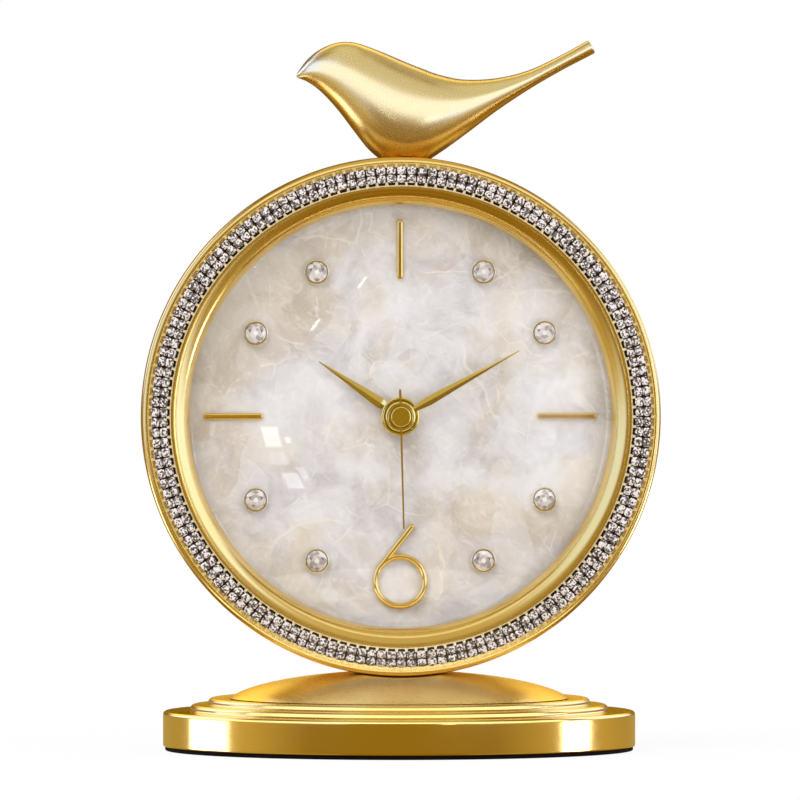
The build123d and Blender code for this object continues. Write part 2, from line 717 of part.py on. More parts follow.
with BuildPart() as base_plate:
    with BuildSketch(Plane.XY.offset(slab_bottom)):
        Circle(plate_recess_radius - SEAT_CLEARANCE)
        Circle(CASE_BOLT_HEAD_RADIUS + 2 * FREE_CLEARANCE, mode=Mode.SUBTRACT)
        with PolarLocations(plate_screw_circle, PLATE_SCREW_COUNT):
            Circle(PLATE_SCREW_RADIUS + SEAT_CLEARANCE, mode=Mode.SUBTRACT)
    extrude(amount=BASE_PLATE_THICKNESS)
    with BuildSketch(Plane.XY.offset(slab_bottom)):
        with PolarLocations(plate_screw_circle, PLATE_SCREW_COUNT):
            Circle(PLATE_SCREW_HEAD_RADIUS + SEAT_CLEARANCE)
    extrude(amount=PLATE_SCREW_HEAD_HEIGHT + SEAT_CLEARANCE, mode=Mode.SUBTRACT)
save(base_plate, "base_plate")

with BuildPart() as base_plate_screws:
    with BuildSketch(Plane.XY.offset(slab_bottom + SEAT_CLEARANCE)):
        with PolarLocations(plate_screw_circle, PLATE_SCREW_COUNT):
            Circle(PLATE_SCREW_HEAD_RADIUS)
    extrude(amount=PLATE_SCREW_HEAD_HEIGHT)
    with BuildSketch(Plane.XY.offset(slab_bottom + SEAT_CLEARANCE)):
        with PolarLocations(plate_screw_circle, PLATE_SCREW_COUNT):
            Circle(PLATE_SCREW_RADIUS)
    extrude(amount=PLATE_SCREW_LENGTH)
save(base_plate_screws, "base_plate_screws")

with BuildPart() as base_pad:
    with BuildSketch(Plane.XY):
        Circle(BASE_RADIUS - PAD_INSET)
    extrude(amount=PAD_THICKNESS)
save(base_pad, "base_pad")

# Bolt and curved nut that hold the drum on the base
with BuildPart() as base_bolt:
    with BuildSketch(Plane.XY.offset(boss_bottom - CASE_BOLT_HEAD_HEIGHT)):
        Circle(CASE_BOLT_HEAD_RADIUS)
    extrude(amount=CASE_BOLT_HEAD_HEIGHT)
    with BuildSketch(Plane.XY.offset(boss_bottom - CASE_BOLT_HEAD_HEIGHT)):
        RegularPolygon(CASE_BOLT_SOCKET_RADIUS, 6)
    extrude(amount=CASE_BOLT_HEAD_HEIGHT / 2, mode=Mode.SUBTRACT)
    with BuildSketch(Plane.XY.offset(boss_bottom)):
        Circle(CASE_BOLT_RADIUS)
    extrude(amount=case_nut_top - boss_bottom)
save(base_bolt, "base_bolt")

with BuildPart() as case_nut:
    with BuildSketch(front_plane(fitting_front + CASE_NUT_WIDTH)):
        with Locations((0, -drum_inner_radius)):
            Rectangle(CASE_NUT_LENGTH, 2 * CASE_NUT_HEIGHT)
        Circle(drum_inner_radius - SADDLE_CLEARANCE, mode=Mode.INTERSECT)
    extrude(amount=CASE_NUT_WIDTH)
    with BuildSketch(Plane.XY.offset(case_nut_top)):
        Circle(CASE_BOLT_RADIUS + THREAD_CLEARANCE)
    extrude(amount=-2 * CASE_NUT_HEIGHT, mode=Mode.SUBTRACT)
save(case_nut, "case_nut")

# Drum: turned wall with an inward flange at the back
with BuildPart() as case_drum:
    with BuildSketch(case_section):
        with BuildLine():
            Polyline(
                (bezel_back, drum_radius),
                (cover_front, drum_radius),
                (cover_front, back_flange_radius),
                (back_flange_front, back_flange_radius),
                (back_flange_front, drum_inner_radius),
                (bezel_back, drum_inner_radius),
                close=True,
            )
        make_face()
    revolve(axis=case_axis)
    drum_back_edge = case_drum.edges().filter_by(GeomType.CIRCLE).sort_by(Axis.Y)
    drum_back_edge = drum_back_edge.filter_by(lambda edge: abs(edge.radius - drum_radius) < 0.01)
    fillet(drum_back_edge[-1], DRUM_EDGE_ROUND)
    with BuildSketch(Plane.XY):
        Circle(CASE_BOLT_RADIUS + SEAT_CLEARANCE)
    extrude(amount=case_axis_height, mode=Mode.SUBTRACT)
    with BuildSketch(Plane.XY.offset(case_axis_height)):
        with Locations((BIRD_FOOT_X, 0)):
            Circle(BIRD_SCREW_RADIUS + SEAT_CLEARANCE)
    extrude(amount=CASE_RADIUS, mode=Mode.SUBTRACT)
    with BuildSketch(front_plane(cover_back)):
        with PolarLocations(back_screw_circle, BACK_SCREW_COUNT, start_angle=45):
            Circle(BACK_SCREW_RADIUS + THREAD_CLEARANCE)
    extrude(amount=CASE_DEPTH / 4, mode=Mode.SUBTRACT)
save(case_drum, "case_drum")

# Bezel: rounded rim, channel for the stones, bullnose down to the lens
with BuildPart() as bezel:
    with BuildSketch(case_section) as bezel_profile:
        with BuildLine():
            Polyline(
                (bezel_front + BULLNOSE_RADIUS, visible_radius),
                (lens_front, visible_radius),
                (lens_front, lens_seat_radius),
                (dial_back, lens_seat_radius),
                (dial_back, bezel_neck_radius),
                (spigot_back, bezel_neck_radius),
                (spigot_back, spigot_radius),
                (bezel_back, spigot_radius),
                (bezel_back, CASE_RADIUS),
                (bezel_front, CASE_RADIUS),
                (bezel_front, band_outer_radius),
                (bezel_front + BAND_DEPTH, band_outer_radius),
                (bezel_front + BAND_DEPTH, band_inner_radius),
                (bezel_front, band_inner_radius),
            )
            RadiusArc(
                (bezel_front, band_inner_radius),
                (bezel_front + BULLNOSE_RADIUS, visible_radius),
                -BULLNOSE_RADIUS,
            )
        make_face()
        corners = bezel_profile.vertices()
        rim_corner = corners.sort_by_distance((bezel_front, CASE_RADIUS))[0]
        fillet(rim_corner, BEZEL_RIM_WIDTH - BEZEL_RIM_LAND)
    revolve(axis=case_axis)
    with BuildSketch(front_plane(dial_back)):
        with PolarLocations(dial_clip_screw_circle, DIAL_CLIP_COUNT, start_angle=45):
            Circle(DIAL_CLIP_SCREW_RADIUS + THREAD_CLEARANCE)
    extrude(amount=DIAL_CLIP_SCREW_LENGTH, mode=Mode.SUBTRACT)
save(bezel, "bezel")

# Stone setting: a floor ring between two combs whose teeth stand between the stones
with BuildPart() as stone_setting:
    with BuildSketch(front_plane(band_floor)):
        Circle(setting_outer_radius)
        Circle(setting_inner_radius, mode=Mode.SUBTRACT)
    extrude(amount=SETTING_FLOOR)
    with BuildSketch(front_plane(band_floor - SETTING_FLOOR)):
        Circle(setting_outer_radius)
        with BuildLine():
            Polyline(*comb_outline(setting_outer_radius - SETTING_RAIL, -PRONG_LENGTH), close=True)
        make_face(mode=Mode.SUBTRACT)
        with BuildLine():
            Polyline(*comb_outline(setting_inner_radius + SETTING_RAIL, PRONG_LENGTH), close=True)
        make_face()
        Circle(setting_inner_radius, mode=Mode.SUBTRACT)
    extrude(amount=SETTING_HEIGHT - SETTING_FLOOR)
save(stone_setting, "stone_setting")


def stone_row(radius):
    """One row of cut stones, each half way between two prongs."""
    with BuildSketch(front_plane(stone_back)) as girdles:
        with PolarLocations(radius, stones_per_row, start_angle=90):
            RegularPolygon(STONE_RADIUS, STONE_SIDES)
    extrude(girdles.sketch, amount=STONE_HEIGHT, taper=stone_taper)


with BuildPart() as outer_stones:
    stone_row(outer_row_radius)
save(outer_stones, "outer_stones")

with BuildPart() as inner_stones:
    stone_row(inner_row_radius)
save(inner_stones, "inner_stones")

# Lens: a domed disc of even thickness with a flat rim
with BuildPart() as lens:
    with BuildSketch(case_section):
        with BuildLine():
            Polyline(
                (lens_front, lens_dome_radius),
                (lens_front, lens_rim_radius),
                (lens_back, lens_rim_radius),
                (lens_back, lens_dome_radius),
            )
            ThreePointArc(
                (lens_back, lens_dome_radius),
                (lens_back - lens_mid_sag, lens_dome_radius / 2),
                (lens_back - LENS_SAG, 0),
            )
            Line((lens_back - LENS_SAG, 0), (lens_front - LENS_SAG, 0))
            ThreePointArc(
                (lens_front - LENS_SAG, 0),
                (lens_front - lens_mid_sag, lens_dome_radius / 2),
                (lens_front, lens_dome_radius),
            )
        make_face()
    revolve(axis=case_axis)
save(lens, "lens")

with BuildPart() as dial_spacer:
    turned_ring(lens_rim_radius - SPACER_WALL, lens_rim_radius, lens_back, dial_front)
save(dial_spacer, "dial_spacer")

with BuildPart() as dial_shell:
    turned_ring(BUSH_RADIUS + SEAT_CLEARANCE, lens_rim_radius, dial_front, shell_back)
save(dial_shell, "dial_shell")

with BuildPart() as dial_plate:
    turned_ring(BUSH_RADIUS + SEAT_CLEARANCE, lens_rim_radius, shell_back, dial_back)
save(dial_plate, "dial_plate")

# Clips that hold the dial in the back of the bezel
with BuildPart() as dial_clips:
    with BuildSketch(front_plane(dial_back + DIAL_CLIP_THICKNESS)):
        with PolarLocations(lens_seat_radius, DIAL_CLIP_COUNT, start_angle=45):
            SlotOverall(DIAL_CLIP_LENGTH, DIAL_CLIP_WIDTH)
        with PolarLocations(dial_clip_screw_circle, DIAL_CLIP_COUNT, start_angle=45):
            Circle(DIAL_CLIP_SCREW_RADIUS + SEAT_CLEARANCE, mode=Mode.SUBTRACT)
    extrude(amount=DIAL_CLIP_THICKNESS)
save(dial_clips, "dial_clips")

with BuildPart() as dial_clip_screws:
    for spot in range(DIAL_CLIP_COUNT):
        place = on_clock(dial_clip_screw_circle, 45 + 360 * spot / DIAL_CLIP_COUNT)
        head_front = dial_back + DIAL_CLIP_THICKNESS
        tip = head_front - DIAL_CLIP_SCREW_LENGTH
        round_bar(place, DIAL_CLIP_SCREW_RADIUS, tip, head_front)
        head_back = head_front + DIAL_CLIP_SCREW_HEAD_HEIGHT
        round_bar(place, DIAL_CLIP_SCREW_HEAD_RADIUS, head_front, head_back)
save(dial_clip_screws, "dial_clip_screws")

# Applied marks on the dial
with BuildPart() as hour_batons:
    with BuildSketch(front_plane(dial_front)):
        for hour in BATON_HOURS:
            with Locations(Location((*on_clock(mark_circle, 30 * hour), 0), (0, 0, 90 - 30 * hour))):
                SlotOverall(BATON_LENGTH, BATON_WIDTH)
    extrude(amount=BATON_HEIGHT)
    fillet(hour_batons.faces().filter_by(Axis.Y).group_by(Axis.Y)[0].edges(), BATON_ROUND)
save(hour_batons, "hour_batons")

crystal_points = [on_clock(mark_circle, 30 * hour) for hour in CRYSTAL_HOURS]
with BuildPart() as crystal_cups:
    with BuildSketch(front_plane(dial_front)):
        with Locations(*crystal_points):
            Circle(CUP_RADIUS)
    extrude(amount=CUP_HEIGHT)
    fillet(crystal_cups.faces().filter_by(Axis.Y).group_by(Axis.Y)[0].edges(), CUP_WALL / 2)
    with BuildSketch(front_plane(dial_front - CUP_FLOOR)):
        with Locations(*crystal_points):
            Circle(CUP_RADIUS - CUP_WALL)
    extrude(amount=CUP_HEIGHT, mode=Mode.SUBTRACT)
save(crystal_cups, "crystal_cups")

with BuildPart() as crystals:
    with BuildSketch(front_plane(crystal_back)):
        with Locations(*crystal_points):
            RegularPolygon(crystal_radius, CRYSTAL_SIDES)
    extrude(amount=crystal_girdle)
    with BuildSketch(front_plane(crystal_back - crystal_girdle)):
        with Locations(*crystal_points):
            RegularPolygon(crystal_radius, CRYSTAL_SIDES)
    extrude(amount=CRYSTAL_CROWN, taper=crystal_taper)
save(crystals, "crystals")

# Wire six: a round bowl with a straight tail that leaves it on the left
with BuildPart() as numeral_six:
    with Locations((0, six_depth, case_axis_height - six_drop)):
        Torus(SIX_BOWL_RADIUS, SIX_WIRE_RADIUS, rotation=(90, 0, 0))
    with BuildSketch(six_tail_plane):
        with BuildLine():
            Polyline((0, 0), (0, six_tail_radius), (six_tail_length - six_tail_radius, six_tail_radius))
            RadiusArc(
                (six_tail_length - six_tail_radius, six_tail_radius),
                (six_tail_length, 0),
                six_tail_radius,
            )
            Line((six_tail_length, 0), (0, 0))
        make_face()
    revolve(axis=Axis(six_tail_plane.origin, six_tail_plane.x_dir))
    with BuildSketch(front_plane(dial_front + SIX_WIRE_RADIUS)):
        Circle(lens_rim_radius)
    extrude(amount=SIX_WIRE_RADIUS, mode=Mode.SUBTRACT)
save(numeral_six, "numeral_six")

# Movement mounting
with BuildPart() as movement_washer:
    turned_ring(BUSH_RADIUS + SEAT_CLEARANCE, MOVEMENT_WASHER_RADIUS, dial_back, movement_front)
save(movement_washer, "movement_washer")

with BuildPart() as movement_nut:
    with BuildSketch(front_plane(dial_front)):
        RegularPolygon(NUT_RADIUS, 6)
        Circle(BUSH_RADIUS + THREAD_CLEARANCE, mode=Mode.SUBTRACT)
    extrude(amount=NUT_THICKNESS)
save(movement_nut, "movement_nut")


def corner_posts(front, back):
    """Four square posts in the corners of the gear chamber."""
    with BuildSketch(front_plane(back)) as posts:
        for side in (-1, 1):
            for height in (chamber_bottom + CORNER_POST / 2, chamber_top - CORNER_POST / 2):
                with Locations((side * (chamber_half - CORNER_POST / 2), height)):
                    Rectangle(CORNER_POST, CORNER_POST)
    extrude(posts.sketch, amount=back - front)


# Front half of the movement: a tray with the threaded bush and the minute wheel's post
with BuildPart() as movement_tray:
    with BuildSketch(front_plane(movement_split)):
        with Locations((0, inside_middle)):
            RectangleRounded(movement_width, movement_height, MOVEMENT_CORNER)
    extrude(amount=MOVEMENT_SPLIT)
    with BuildSketch(front_plane(movement_split)):
        with Locations((0, inside_middle)):
            Rectangle(2 * chamber_half, inside_height)
    extrude(amount=movement_split - train_front, mode=Mode.SUBTRACT)
    corner_posts(train_front, plate_layer)
    round_bar(centre_point, BUSH_RADIUS, bush_front, movement_front)
    round_bar(centre_point, hour_pipe_bore, bush_front, train_front, Mode.SUBTRACT)
    round_bar(minute_point, MINUTE_POST_RADIUS, train_front, plate_layer - END_SHAKE)
save(movement_tray, "movement_tray")

# Back half of the movement: a lid with the battery bay, the bearing bosses and the knob hole
with BuildPart() as movement_lid:
    with BuildSketch(front_plane(movement_back)):
        with Locations((0, inside_middle)):
            RectangleRounded(movement_width, movement_height, MOVEMENT_CORNER)
    extrude(amount=movement_back - movement_split)
    with BuildSketch(front_plane(train_back)):
        with Locations((0, inside_middle)):
            Rectangle(2 * chamber_half, inside_height)
    extrude(amount=train_back - movement_split, mode=Mode.SUBTRACT)
    with BuildSketch(front_plane(movement_back)):
        with Locations((0, bay_middle)):
            Rectangle(2 * chamber_half, bay_height)
    extrude(amount=MOVEMENT_WALL, mode=Mode.SUBTRACT)
    with BuildSketch(front_plane(movement_back)):
        with Locations((0, chamber_bottom - BAY_DIVIDER / 2)):
            Rectangle(2 * chamber_half - 2 * SEAT_CLEARANCE, BAY_DIVIDER)
    extrude(amount=movement_back - train_front - SEAT_CLEARANCE)
    corner_posts(plate_layer + TRAIN_PLATE_THICKNESS, train_back)
    round_bar(centre_point, BOSS_RADIUS, second_layer + WHEEL_THICKNESS + END_SHAKE, train_back)
    round_bar(third_point, BOSS_RADIUS, third_layer + WHEEL_THICKNESS + END_SHAKE, train_back)
    round_bar(rotor_point, BOSS_RADIUS, rotor_layer + ROTOR_MAGNET_LENGTH + END_SHAKE, train_back)
    for bearing_point, depth in (
        (centre_point, second_layer),
        (third_point, third_layer),
        (rotor_point, rotor_layer),
    ):
        round_bar(bearing_point, arbor_bore, depth, train_back, Mode.SUBTRACT)
    round_bar(step_point, WHEEL_ARBOR_RADIUS, second_layer - END_SHAKE, train_back)
    round_bar(knob_point, KNOB_SHAFT_RADIUS + RUNNING_CLEARANCE, train_back, movement_back, Mode.SUBTRACT)
save(movement_lid, "movement_lid")

# Plate between the motion work and the going train
with BuildPart() as train_plate:
    with BuildSketch(front_plane(plate_layer + TRAIN_PLATE_THICKNESS)):
        with Locations((0, (chamber_bottom + chamber_top) / 2)):
            Rectangle(
                2 * chamber_half - 2 * SEAT_CLEARANCE,
                chamber_top - chamber_bottom - 2 * SEAT_CLEARANCE,
            )
        Circle(MINUTE_PIPE_RADIUS + RUNNING_CLEARANCE, mode=Mode.SUBTRACT)
        with Locations(third_point, rotor_point):
            Circle(arbor_bore, mode=Mode.SUBTRACT)
        with Locations(knob_point):
            Circle(KNOB_SHAFT_RADIUS + RUNNING_CLEARANCE, mode=Mode.SUBTRACT)
    extrude(amount=TRAIN_PLATE_THICKNESS)
save(train_plate, "train_plate")

# Battery and its two contacts
with BuildPart() as battery:
    with BuildSketch(battery_plane):
        Circle(BATTERY_RADIUS)
    extrude(amount=BATTERY_LENGTH)
    fillet(battery.edges().filter_by(GeomType.CIRCLE), BATTERY_EDGE_ROUND)
    with BuildSketch(battery_plane.offset(BATTERY_LENGTH)):
        Circle(BATTERY_BUTTON_RADIUS)
    extrude(amount=BATTERY_BUTTON_HEIGHT)
save(battery, "battery")

with BuildPart() as contact_positive:
    with BuildSketch(front_plane(battery_depth + CONTACT_WIDTH / 2)):
        with Locations((chamber_half - CONTACT_THICKNESS / 2, bay_middle)):
            Rectangle(CONTACT_THICKNESS, CONTACT_WIDTH)
    extrude(amount=CONTACT_WIDTH)
save(contact_positive, "contact_positive")

# The negative contact is a bent leaf that presses on the end of the battery
with BuildPart() as contact_negative:
    with BuildSketch(front_plane(battery_depth + CONTACT_WIDTH / 2)):
        with BuildLine():
            Polyline(
                (leaf_wall, bay_middle + CONTACT_WIDTH / 2),
                (leaf_wall, bay_middle - CONTACT_WIDTH / 2),
                (leaf_tip, bay_middle),
                (leaf_wall + CONTACT_THICKNESS, bay_middle + CONTACT_WIDTH / 4),
            )
        trace(line_width=CONTACT_THICKNESS)
    extrude(amount=CONTACT_WIDTH)
save(contact_negative, "contact_negative")

# Circuit board with its oscillator can
with BuildPart() as circuit_board:
    with BuildSketch(front_plane(train_back)):
        with Locations(board_middle):
            Rectangle(BOARD_WIDTH, BOARD_LENGTH)
    extrude(amount=BOARD_THICKNESS)
    with BuildSketch(front_plane(train_back - BOARD_THICKNESS)):
        with Locations((board_middle[0], board_middle[1] - BOARD_LENGTH / 4)):
            Circle(CHIP_RADIUS)
    extrude(amount=CHIP_HEIGHT, taper=30)
save(circuit_board, "circuit_board")

with BuildPart() as oscillator:
    with BuildSketch(oscillator_plane):
        Circle(OSCILLATOR_RADIUS)
    extrude(amount=OSCILLATOR_LENGTH)
save(oscillator, "oscillator")

# Step motor: the stator plate around the rotor, and the coil on its core
with BuildPart() as stator:
    with BuildSketch(front_plane(stator_front + STATOR_THICKNESS)):
        with Locations(rotor_point):
            Circle(STATOR_RING_RADIUS)
        with Locations((rotor_point[0], (stator_bar_bottom + stator_bar_top) / 2)):
            Rectangle(STATOR_LENGTH, stator_bar_top - stator_bar_bottom)
        for side in (-1, 1):
            leg_middle = rotor_point[0] + side * (STATOR_LENGTH - STATOR_LEG_WIDTH) / 2
            with Locations((leg_middle, (stator_bar_bottom + coil_height + COIL_CORE_WIDTH / 2) / 2)):
                Rectangle(STATOR_LEG_WIDTH, coil_height + COIL_CORE_WIDTH / 2 - stator_bar_bottom)
        with Locations(rotor_point):
            Circle(ROTOR_MAGNET_RADIUS + ROTOR_AIR_GAP, mode=Mode.SUBTRACT)
    extrude(amount=STATOR_THICKNESS)
save(stator, "stator")

with BuildPart() as coil_core:
    with BuildSketch(front_plane(stator_front)):
        with Locations((rotor_point[0], coil_height)):
            Rectangle(STATOR_LENGTH, COIL_CORE_WIDTH)
    extrude(amount=COIL_CORE_THICKNESS)
save(coil_core, "coil_core")

with BuildPart() as drive_coil:
    with BuildSketch(coil_plane):
        Circle(COIL_FLANGE_RADIUS)
    extrude(amount=COIL_FLANGE_THICKNESS)
    with BuildSketch(coil_plane.offset(COIL_FLANGE_THICKNESS)):
        Circle(COIL_RADIUS)
    extrude(amount=COIL_LENGTH - 2 * COIL_FLANGE_THICKNESS)
    with BuildSketch(coil_plane.offset(COIL_LENGTH - COIL_FLANGE_THICKNESS)):
        Circle(COIL_FLANGE_RADIUS)
    extrude(amount=COIL_FLANGE_THICKNESS)
    with BuildSketch(coil_plane):
        Rectangle(COIL_CORE_THICKNESS + 2 * SEAT_CLEARANCE, COIL_CORE_WIDTH + 2 * SEAT_CLEARANCE)
    extrude(amount=COIL_LENGTH, mode=Mode.SUBTRACT)
save(drive_coil, "drive_coil")

# Hour wheel on its pipe
with BuildPart() as hour_wheel:
    gear(centre_point, HOUR_WHEEL_TEETH, hour_module, hour_layer, WHEEL_THICKNESS, hour_wheel_phase)
    round_bar(centre_point, HOUR_PIPE_RADIUS, hour_front, hour_layer + WHEEL_THICKNESS)
    round_bar(
        centre_point,
        MINUTE_PIPE_RADIUS + RUNNING_CLEARANCE,
        hour_front,
        hour_layer + WHEEL_THICKNESS,
        Mode.SUBTRACT,
    )
save(hour_wheel, "hour_wheel")

# Minute pipe: carries the minute hand in front, the cannon pinion and the friction flange
with BuildPart() as minute_pipe:
    round_bar(centre_point, MINUTE_PIPE_RADIUS, minute_front, minute_pipe_back)
    round_bar(centre_point, FLANGE_RADIUS, flange_front, centre_layer - END_SHAKE)
    round_bar(centre_point, second_bore, minute_front, minute_pipe_back, Mode.SUBTRACT)
save(minute_pipe, "minute_pipe")

with BuildPart() as cannon_pinion:
    gear(
        centre_point,
        CANNON_TEETH,
        CANNON_MODULE,
        minute_layer,
        WHEEL_THICKNESS,
        cannon_phase,
        MINUTE_PIPE_RADIUS + PRESS_CLEARANCE,
    )
save(cannon_pinion, "cannon_pinion")

# Friction washer that presses the centre wheel on the flange
with BuildPart() as friction_washer:
    with BuildSketch(front_plane(minute_pipe_back)):
        Circle(FLANGE_RADIUS)
        Circle(MINUTE_PIPE_RADIUS + PRESS_CLEARANCE, mode=Mode.SUBTRACT)
    extrude(amount=minute_pipe_back - centre_layer - WHEEL_THICKNESS - END_SHAKE)
save(friction_washer, "friction_washer")

# Minute wheel and its pinion, free on the post of the tray
with BuildPart() as minute_wheel:
    gear(
        minute_point,
        MINUTE_WHEEL_TEETH,
        CANNON_MODULE,
        minute_layer,
        WHEEL_THICKNESS,
        minute_wheel_phase,
    )
    gear(
        minute_point,
        MINUTE_PINION_TEETH,
        hour_module,
        hour_layer,
        minute_layer - hour_layer,
        minute_pinion_phase,
    )
    round_bar(
        minute_point,
        MINUTE_POST_RADIUS + RUNNING_CLEARANCE,
        train_front,
        plate_layer,
        Mode.SUBTRACT,
    )
save(minute_wheel, "minute_wheel")

# Setting knob: ribbed head outside, pinion inside
with BuildPart() as setting_knob:
    with BuildSketch(front_plane(knob_back)):
        with Locations(knob_point):
            Circle(KNOB_RADIUS)
        with Locations(knob_point):
            with PolarLocations(KNOB_RADIUS, KNOB_RIBS):
                Circle(KNOB_RIB_RADIUS, mode=Mode.SUBTRACT)
    extrude(amount=KNOB_HEIGHT)
    round_bar(knob_point, KNOB_SHAFT_RADIUS, minute_layer, knob_back - KNOB_HEIGHT)
    gear(knob_point, KNOB_PINION_TEETH, CANNON_MODULE, minute_layer, WHEEL_THICKNESS, knob_phase)
save(setting_knob, "setting_knob")

# Centre wheel, free on the minute pipe
with BuildPart() as centre_wheel:
    gear(
        centre_point,
        CENTRE_WHEEL_TEETH,
        centre_module,
        centre_layer,
        WHEEL_THICKNESS,
        centre_wheel_phase,
        MINUTE_PIPE_RADIUS + RUNNING_CLEARANCE,
    )
save(centre_wheel, "centre_wheel")

with BuildPart() as third_wheel:
    gear(third_point, THIRD_WHEEL_TEETH, THIRD_MODULE, third_layer, WHEEL_THICKNESS, third_wheel_phase)
    gear(
        third_point,
        THIRD_PINION_TEETH,
        centre_module,
        centre_layer,
        third_layer - centre_layer,
        third_pinion_phase,
    )
    round_bar(third_point, WHEEL_ARBOR_RADIUS, plate_layer, train_back - END_SHAKE)
save(third_wheel, "third_wheel")

with BuildPart() as second_wheel:
    gear(centre_point, SECOND_WHEEL_TEETH, STEP_MODULE, second_layer, WHEEL_THICKNESS, second_wheel_phase)
    gear(
        centre_point,
        SECOND_PINION_TEETH,
        THIRD_MODULE,
        third_layer,
        second_layer - third_layer,
        second_pinion_phase,
    )
    round_bar(centre_point, SECOND_ARBOR_RADIUS, second_arbor_front, train_back - END_SHAKE)
save(second_wheel, "second_wheel")

# Step wheel, free on the post of the lid
with BuildPart() as step_wheel:
    gear(step_point, STEP_WHEEL_TEETH, ROTOR_MODULE, step_layer, WHEEL_THICKNESS, step_wheel_phase)
    gear(
        step_point,
        STEP_PINION_TEETH,
        STEP_MODULE,
        second_layer,
        step_layer - second_layer,
        step_pinion_phase,
    )
    round_bar(step_point, arbor_bore, second_layer, step_layer + WHEEL_THICKNESS, Mode.SUBTRACT)
save(step_wheel, "step_wheel")

with BuildPart() as rotor:
    gear(
        rotor_point,
        ROTOR_PINION_TEETH,
        ROTOR_MODULE,
        step_layer,
        rotor_layer - step_layer,
        rotor_pinion_phase,
    )
    round_bar(rotor_point, ROTOR_MAGNET_RADIUS, rotor_layer, rotor_layer + ROTOR_MAGNET_LENGTH)
    round_bar(rotor_point, WHEEL_ARBOR_RADIUS, plate_layer, train_back - END_SHAKE)
save(rotor, "rotor")


def ridged_blade(length, width, hub_radius, angle, back):
    """A two-facet blade from a narrow neck to a shoulder and a fine tip, along a clock angle."""
    hand_plane = front_plane(back, angle)
    stations = (
        (HAND_ROOT_SHARE * hub_radius, HAND_NECK_SHARE * width),
        (HAND_SHOULDER_SHARE * length, width),
        (length, HAND_TIP_WIDTH),
    )
    sections = []
    for distance, breadth in stations:
        ridge = HAND_EDGE + (HAND_RIDGE - HAND_EDGE) * breadth / width
        across = Plane(
            origin=hand_plane.from_local_coords((0, distance, 0)),
            x_dir=-hand_plane.x_dir,
            z_dir=hand_plane.y_dir,
        )
        with BuildSketch(across) as section:
            with BuildLine():
                Polyline(
                    (-breadth / 2, 0),
                    (breadth / 2, 0),
                    (breadth / 2, HAND_EDGE),
                    (0, ridge),
                    (-breadth / 2, HAND_EDGE),
                    close=True,
                )
            make_face()
        sections.append(section.sketch)
    loft(sections, ruled=True)


with BuildPart() as hour_hand:
    round_bar(centre_point, HOUR_HUB_RADIUS, hour_front, hour_back)
    fillet(hour_hand.edges().group_by(Axis.Y)[0], HUB_ROUND)
    ridged_blade(HOUR_LENGTH, HOUR_WIDTH, HOUR_HUB_RADIUS, HOUR_ANGLE, hour_back)
    round_bar(centre_point, HOUR_PIPE_RADIUS + PRESS_CLEARANCE, minute_front, hour_back, Mode.SUBTRACT)
save(hour_hand, "hour_hand")

with BuildPart() as minute_hand:
    round_bar(centre_point, MINUTE_HUB_RADIUS, minute_front, minute_back)
    fillet(minute_hand.edges().group_by(Axis.Y)[0], HUB_ROUND)
    ridged_blade(MINUTE_LENGTH, MINUTE_WIDTH, MINUTE_HUB_RADIUS, MINUTE_ANGLE, minute_back)
    round_bar(centre_point, MINUTE_PIPE_RADIUS + PRESS_CLEARANCE, second_back, minute_back, Mode.SUBTRACT)
save(minute_hand, "minute_hand")

# Seconds hand: a fine needle through a cupped cap
with BuildPart() as second_hand:
    with BuildSketch(front_plane(second_back, SECOND_ANGLE)):
        with BuildLine():
            Polyline(
                (-SECOND_WIDTH / 2, -SECOND_TAIL),
                (SECOND_WIDTH / 2, -SECOND_TAIL),
                (SECOND_TIP_WIDTH / 2, SECOND_LENGTH),
                (-SECOND_TIP_WIDTH / 2, SECOND_LENGTH),
                close=True,
            )
        make_face()
    extrude(amount=SECOND_THICKNESS)
    round_bar(centre_point, SECOND_HUB_RADIUS, second_front, second_back)
    fillet(second_hand.edges().filter_by(GeomType.CIRCLE).group_by(Axis.Y)[0], SECOND_HUB_WALL / 2)
    round_bar(
        centre_point,
        SECOND_HUB_RADIUS - SECOND_HUB_WALL,
        second_front,
        second_front + SECOND_HUB_RECESS,
        Mode.SUBTRACT,
    )
    round_bar(
        centre_point,
        SECOND_ARBOR_RADIUS + PRESS_CLEARANCE,
        second_front,
        second_back,
        Mode.SUBTRACT,
    )
save(second_hand, "second_hand")

# Back cover with a window and collar around the movement
with BuildPart() as back_cover:
    with BuildSketch(front_plane(cover_back)):
        Circle(drum_radius - BACK_COVER_INSET)
    extrude(amount=BACK_COVER_THICKNESS)
    fillet(back_cover.edges().group_by(Axis.Y)[-1], BACK_COVER_ROUND)
    with BuildSketch(front_plane(cover_front)):
        with Locations((0, inside_middle)):
            RectangleRounded(
                window_width + 2 * WINDOW_COLLAR_WALL,
                window_height + 2 * WINDOW_COLLAR_WALL,
                MOVEMENT_CORNER + WINDOW_MARGIN + WINDOW_COLLAR_WALL,
            )
    extrude(amount=cover_front - movement_back + WINDOW_COLLAR_LAP)
    with BuildSketch(front_plane(cover_back)):
        with Locations((0, inside_middle)):
            RectangleRounded(window_width, window_height, MOVEMENT_CORNER + WINDOW_MARGIN)
    extrude(amount=cover_back - movement_back + WINDOW_COLLAR_LAP, mode=Mode.SUBTRACT)
    with BuildSketch(front_plane(cover_back)):
        with PolarLocations(back_screw_circle, BACK_SCREW_COUNT, start_angle=45):
            Circle(BACK_SCREW_RADIUS + SEAT_CLEARANCE)
    extrude(amount=BACK_COVER_THICKNESS, mode=Mode.SUBTRACT)
save(back_cover, "back_cover")

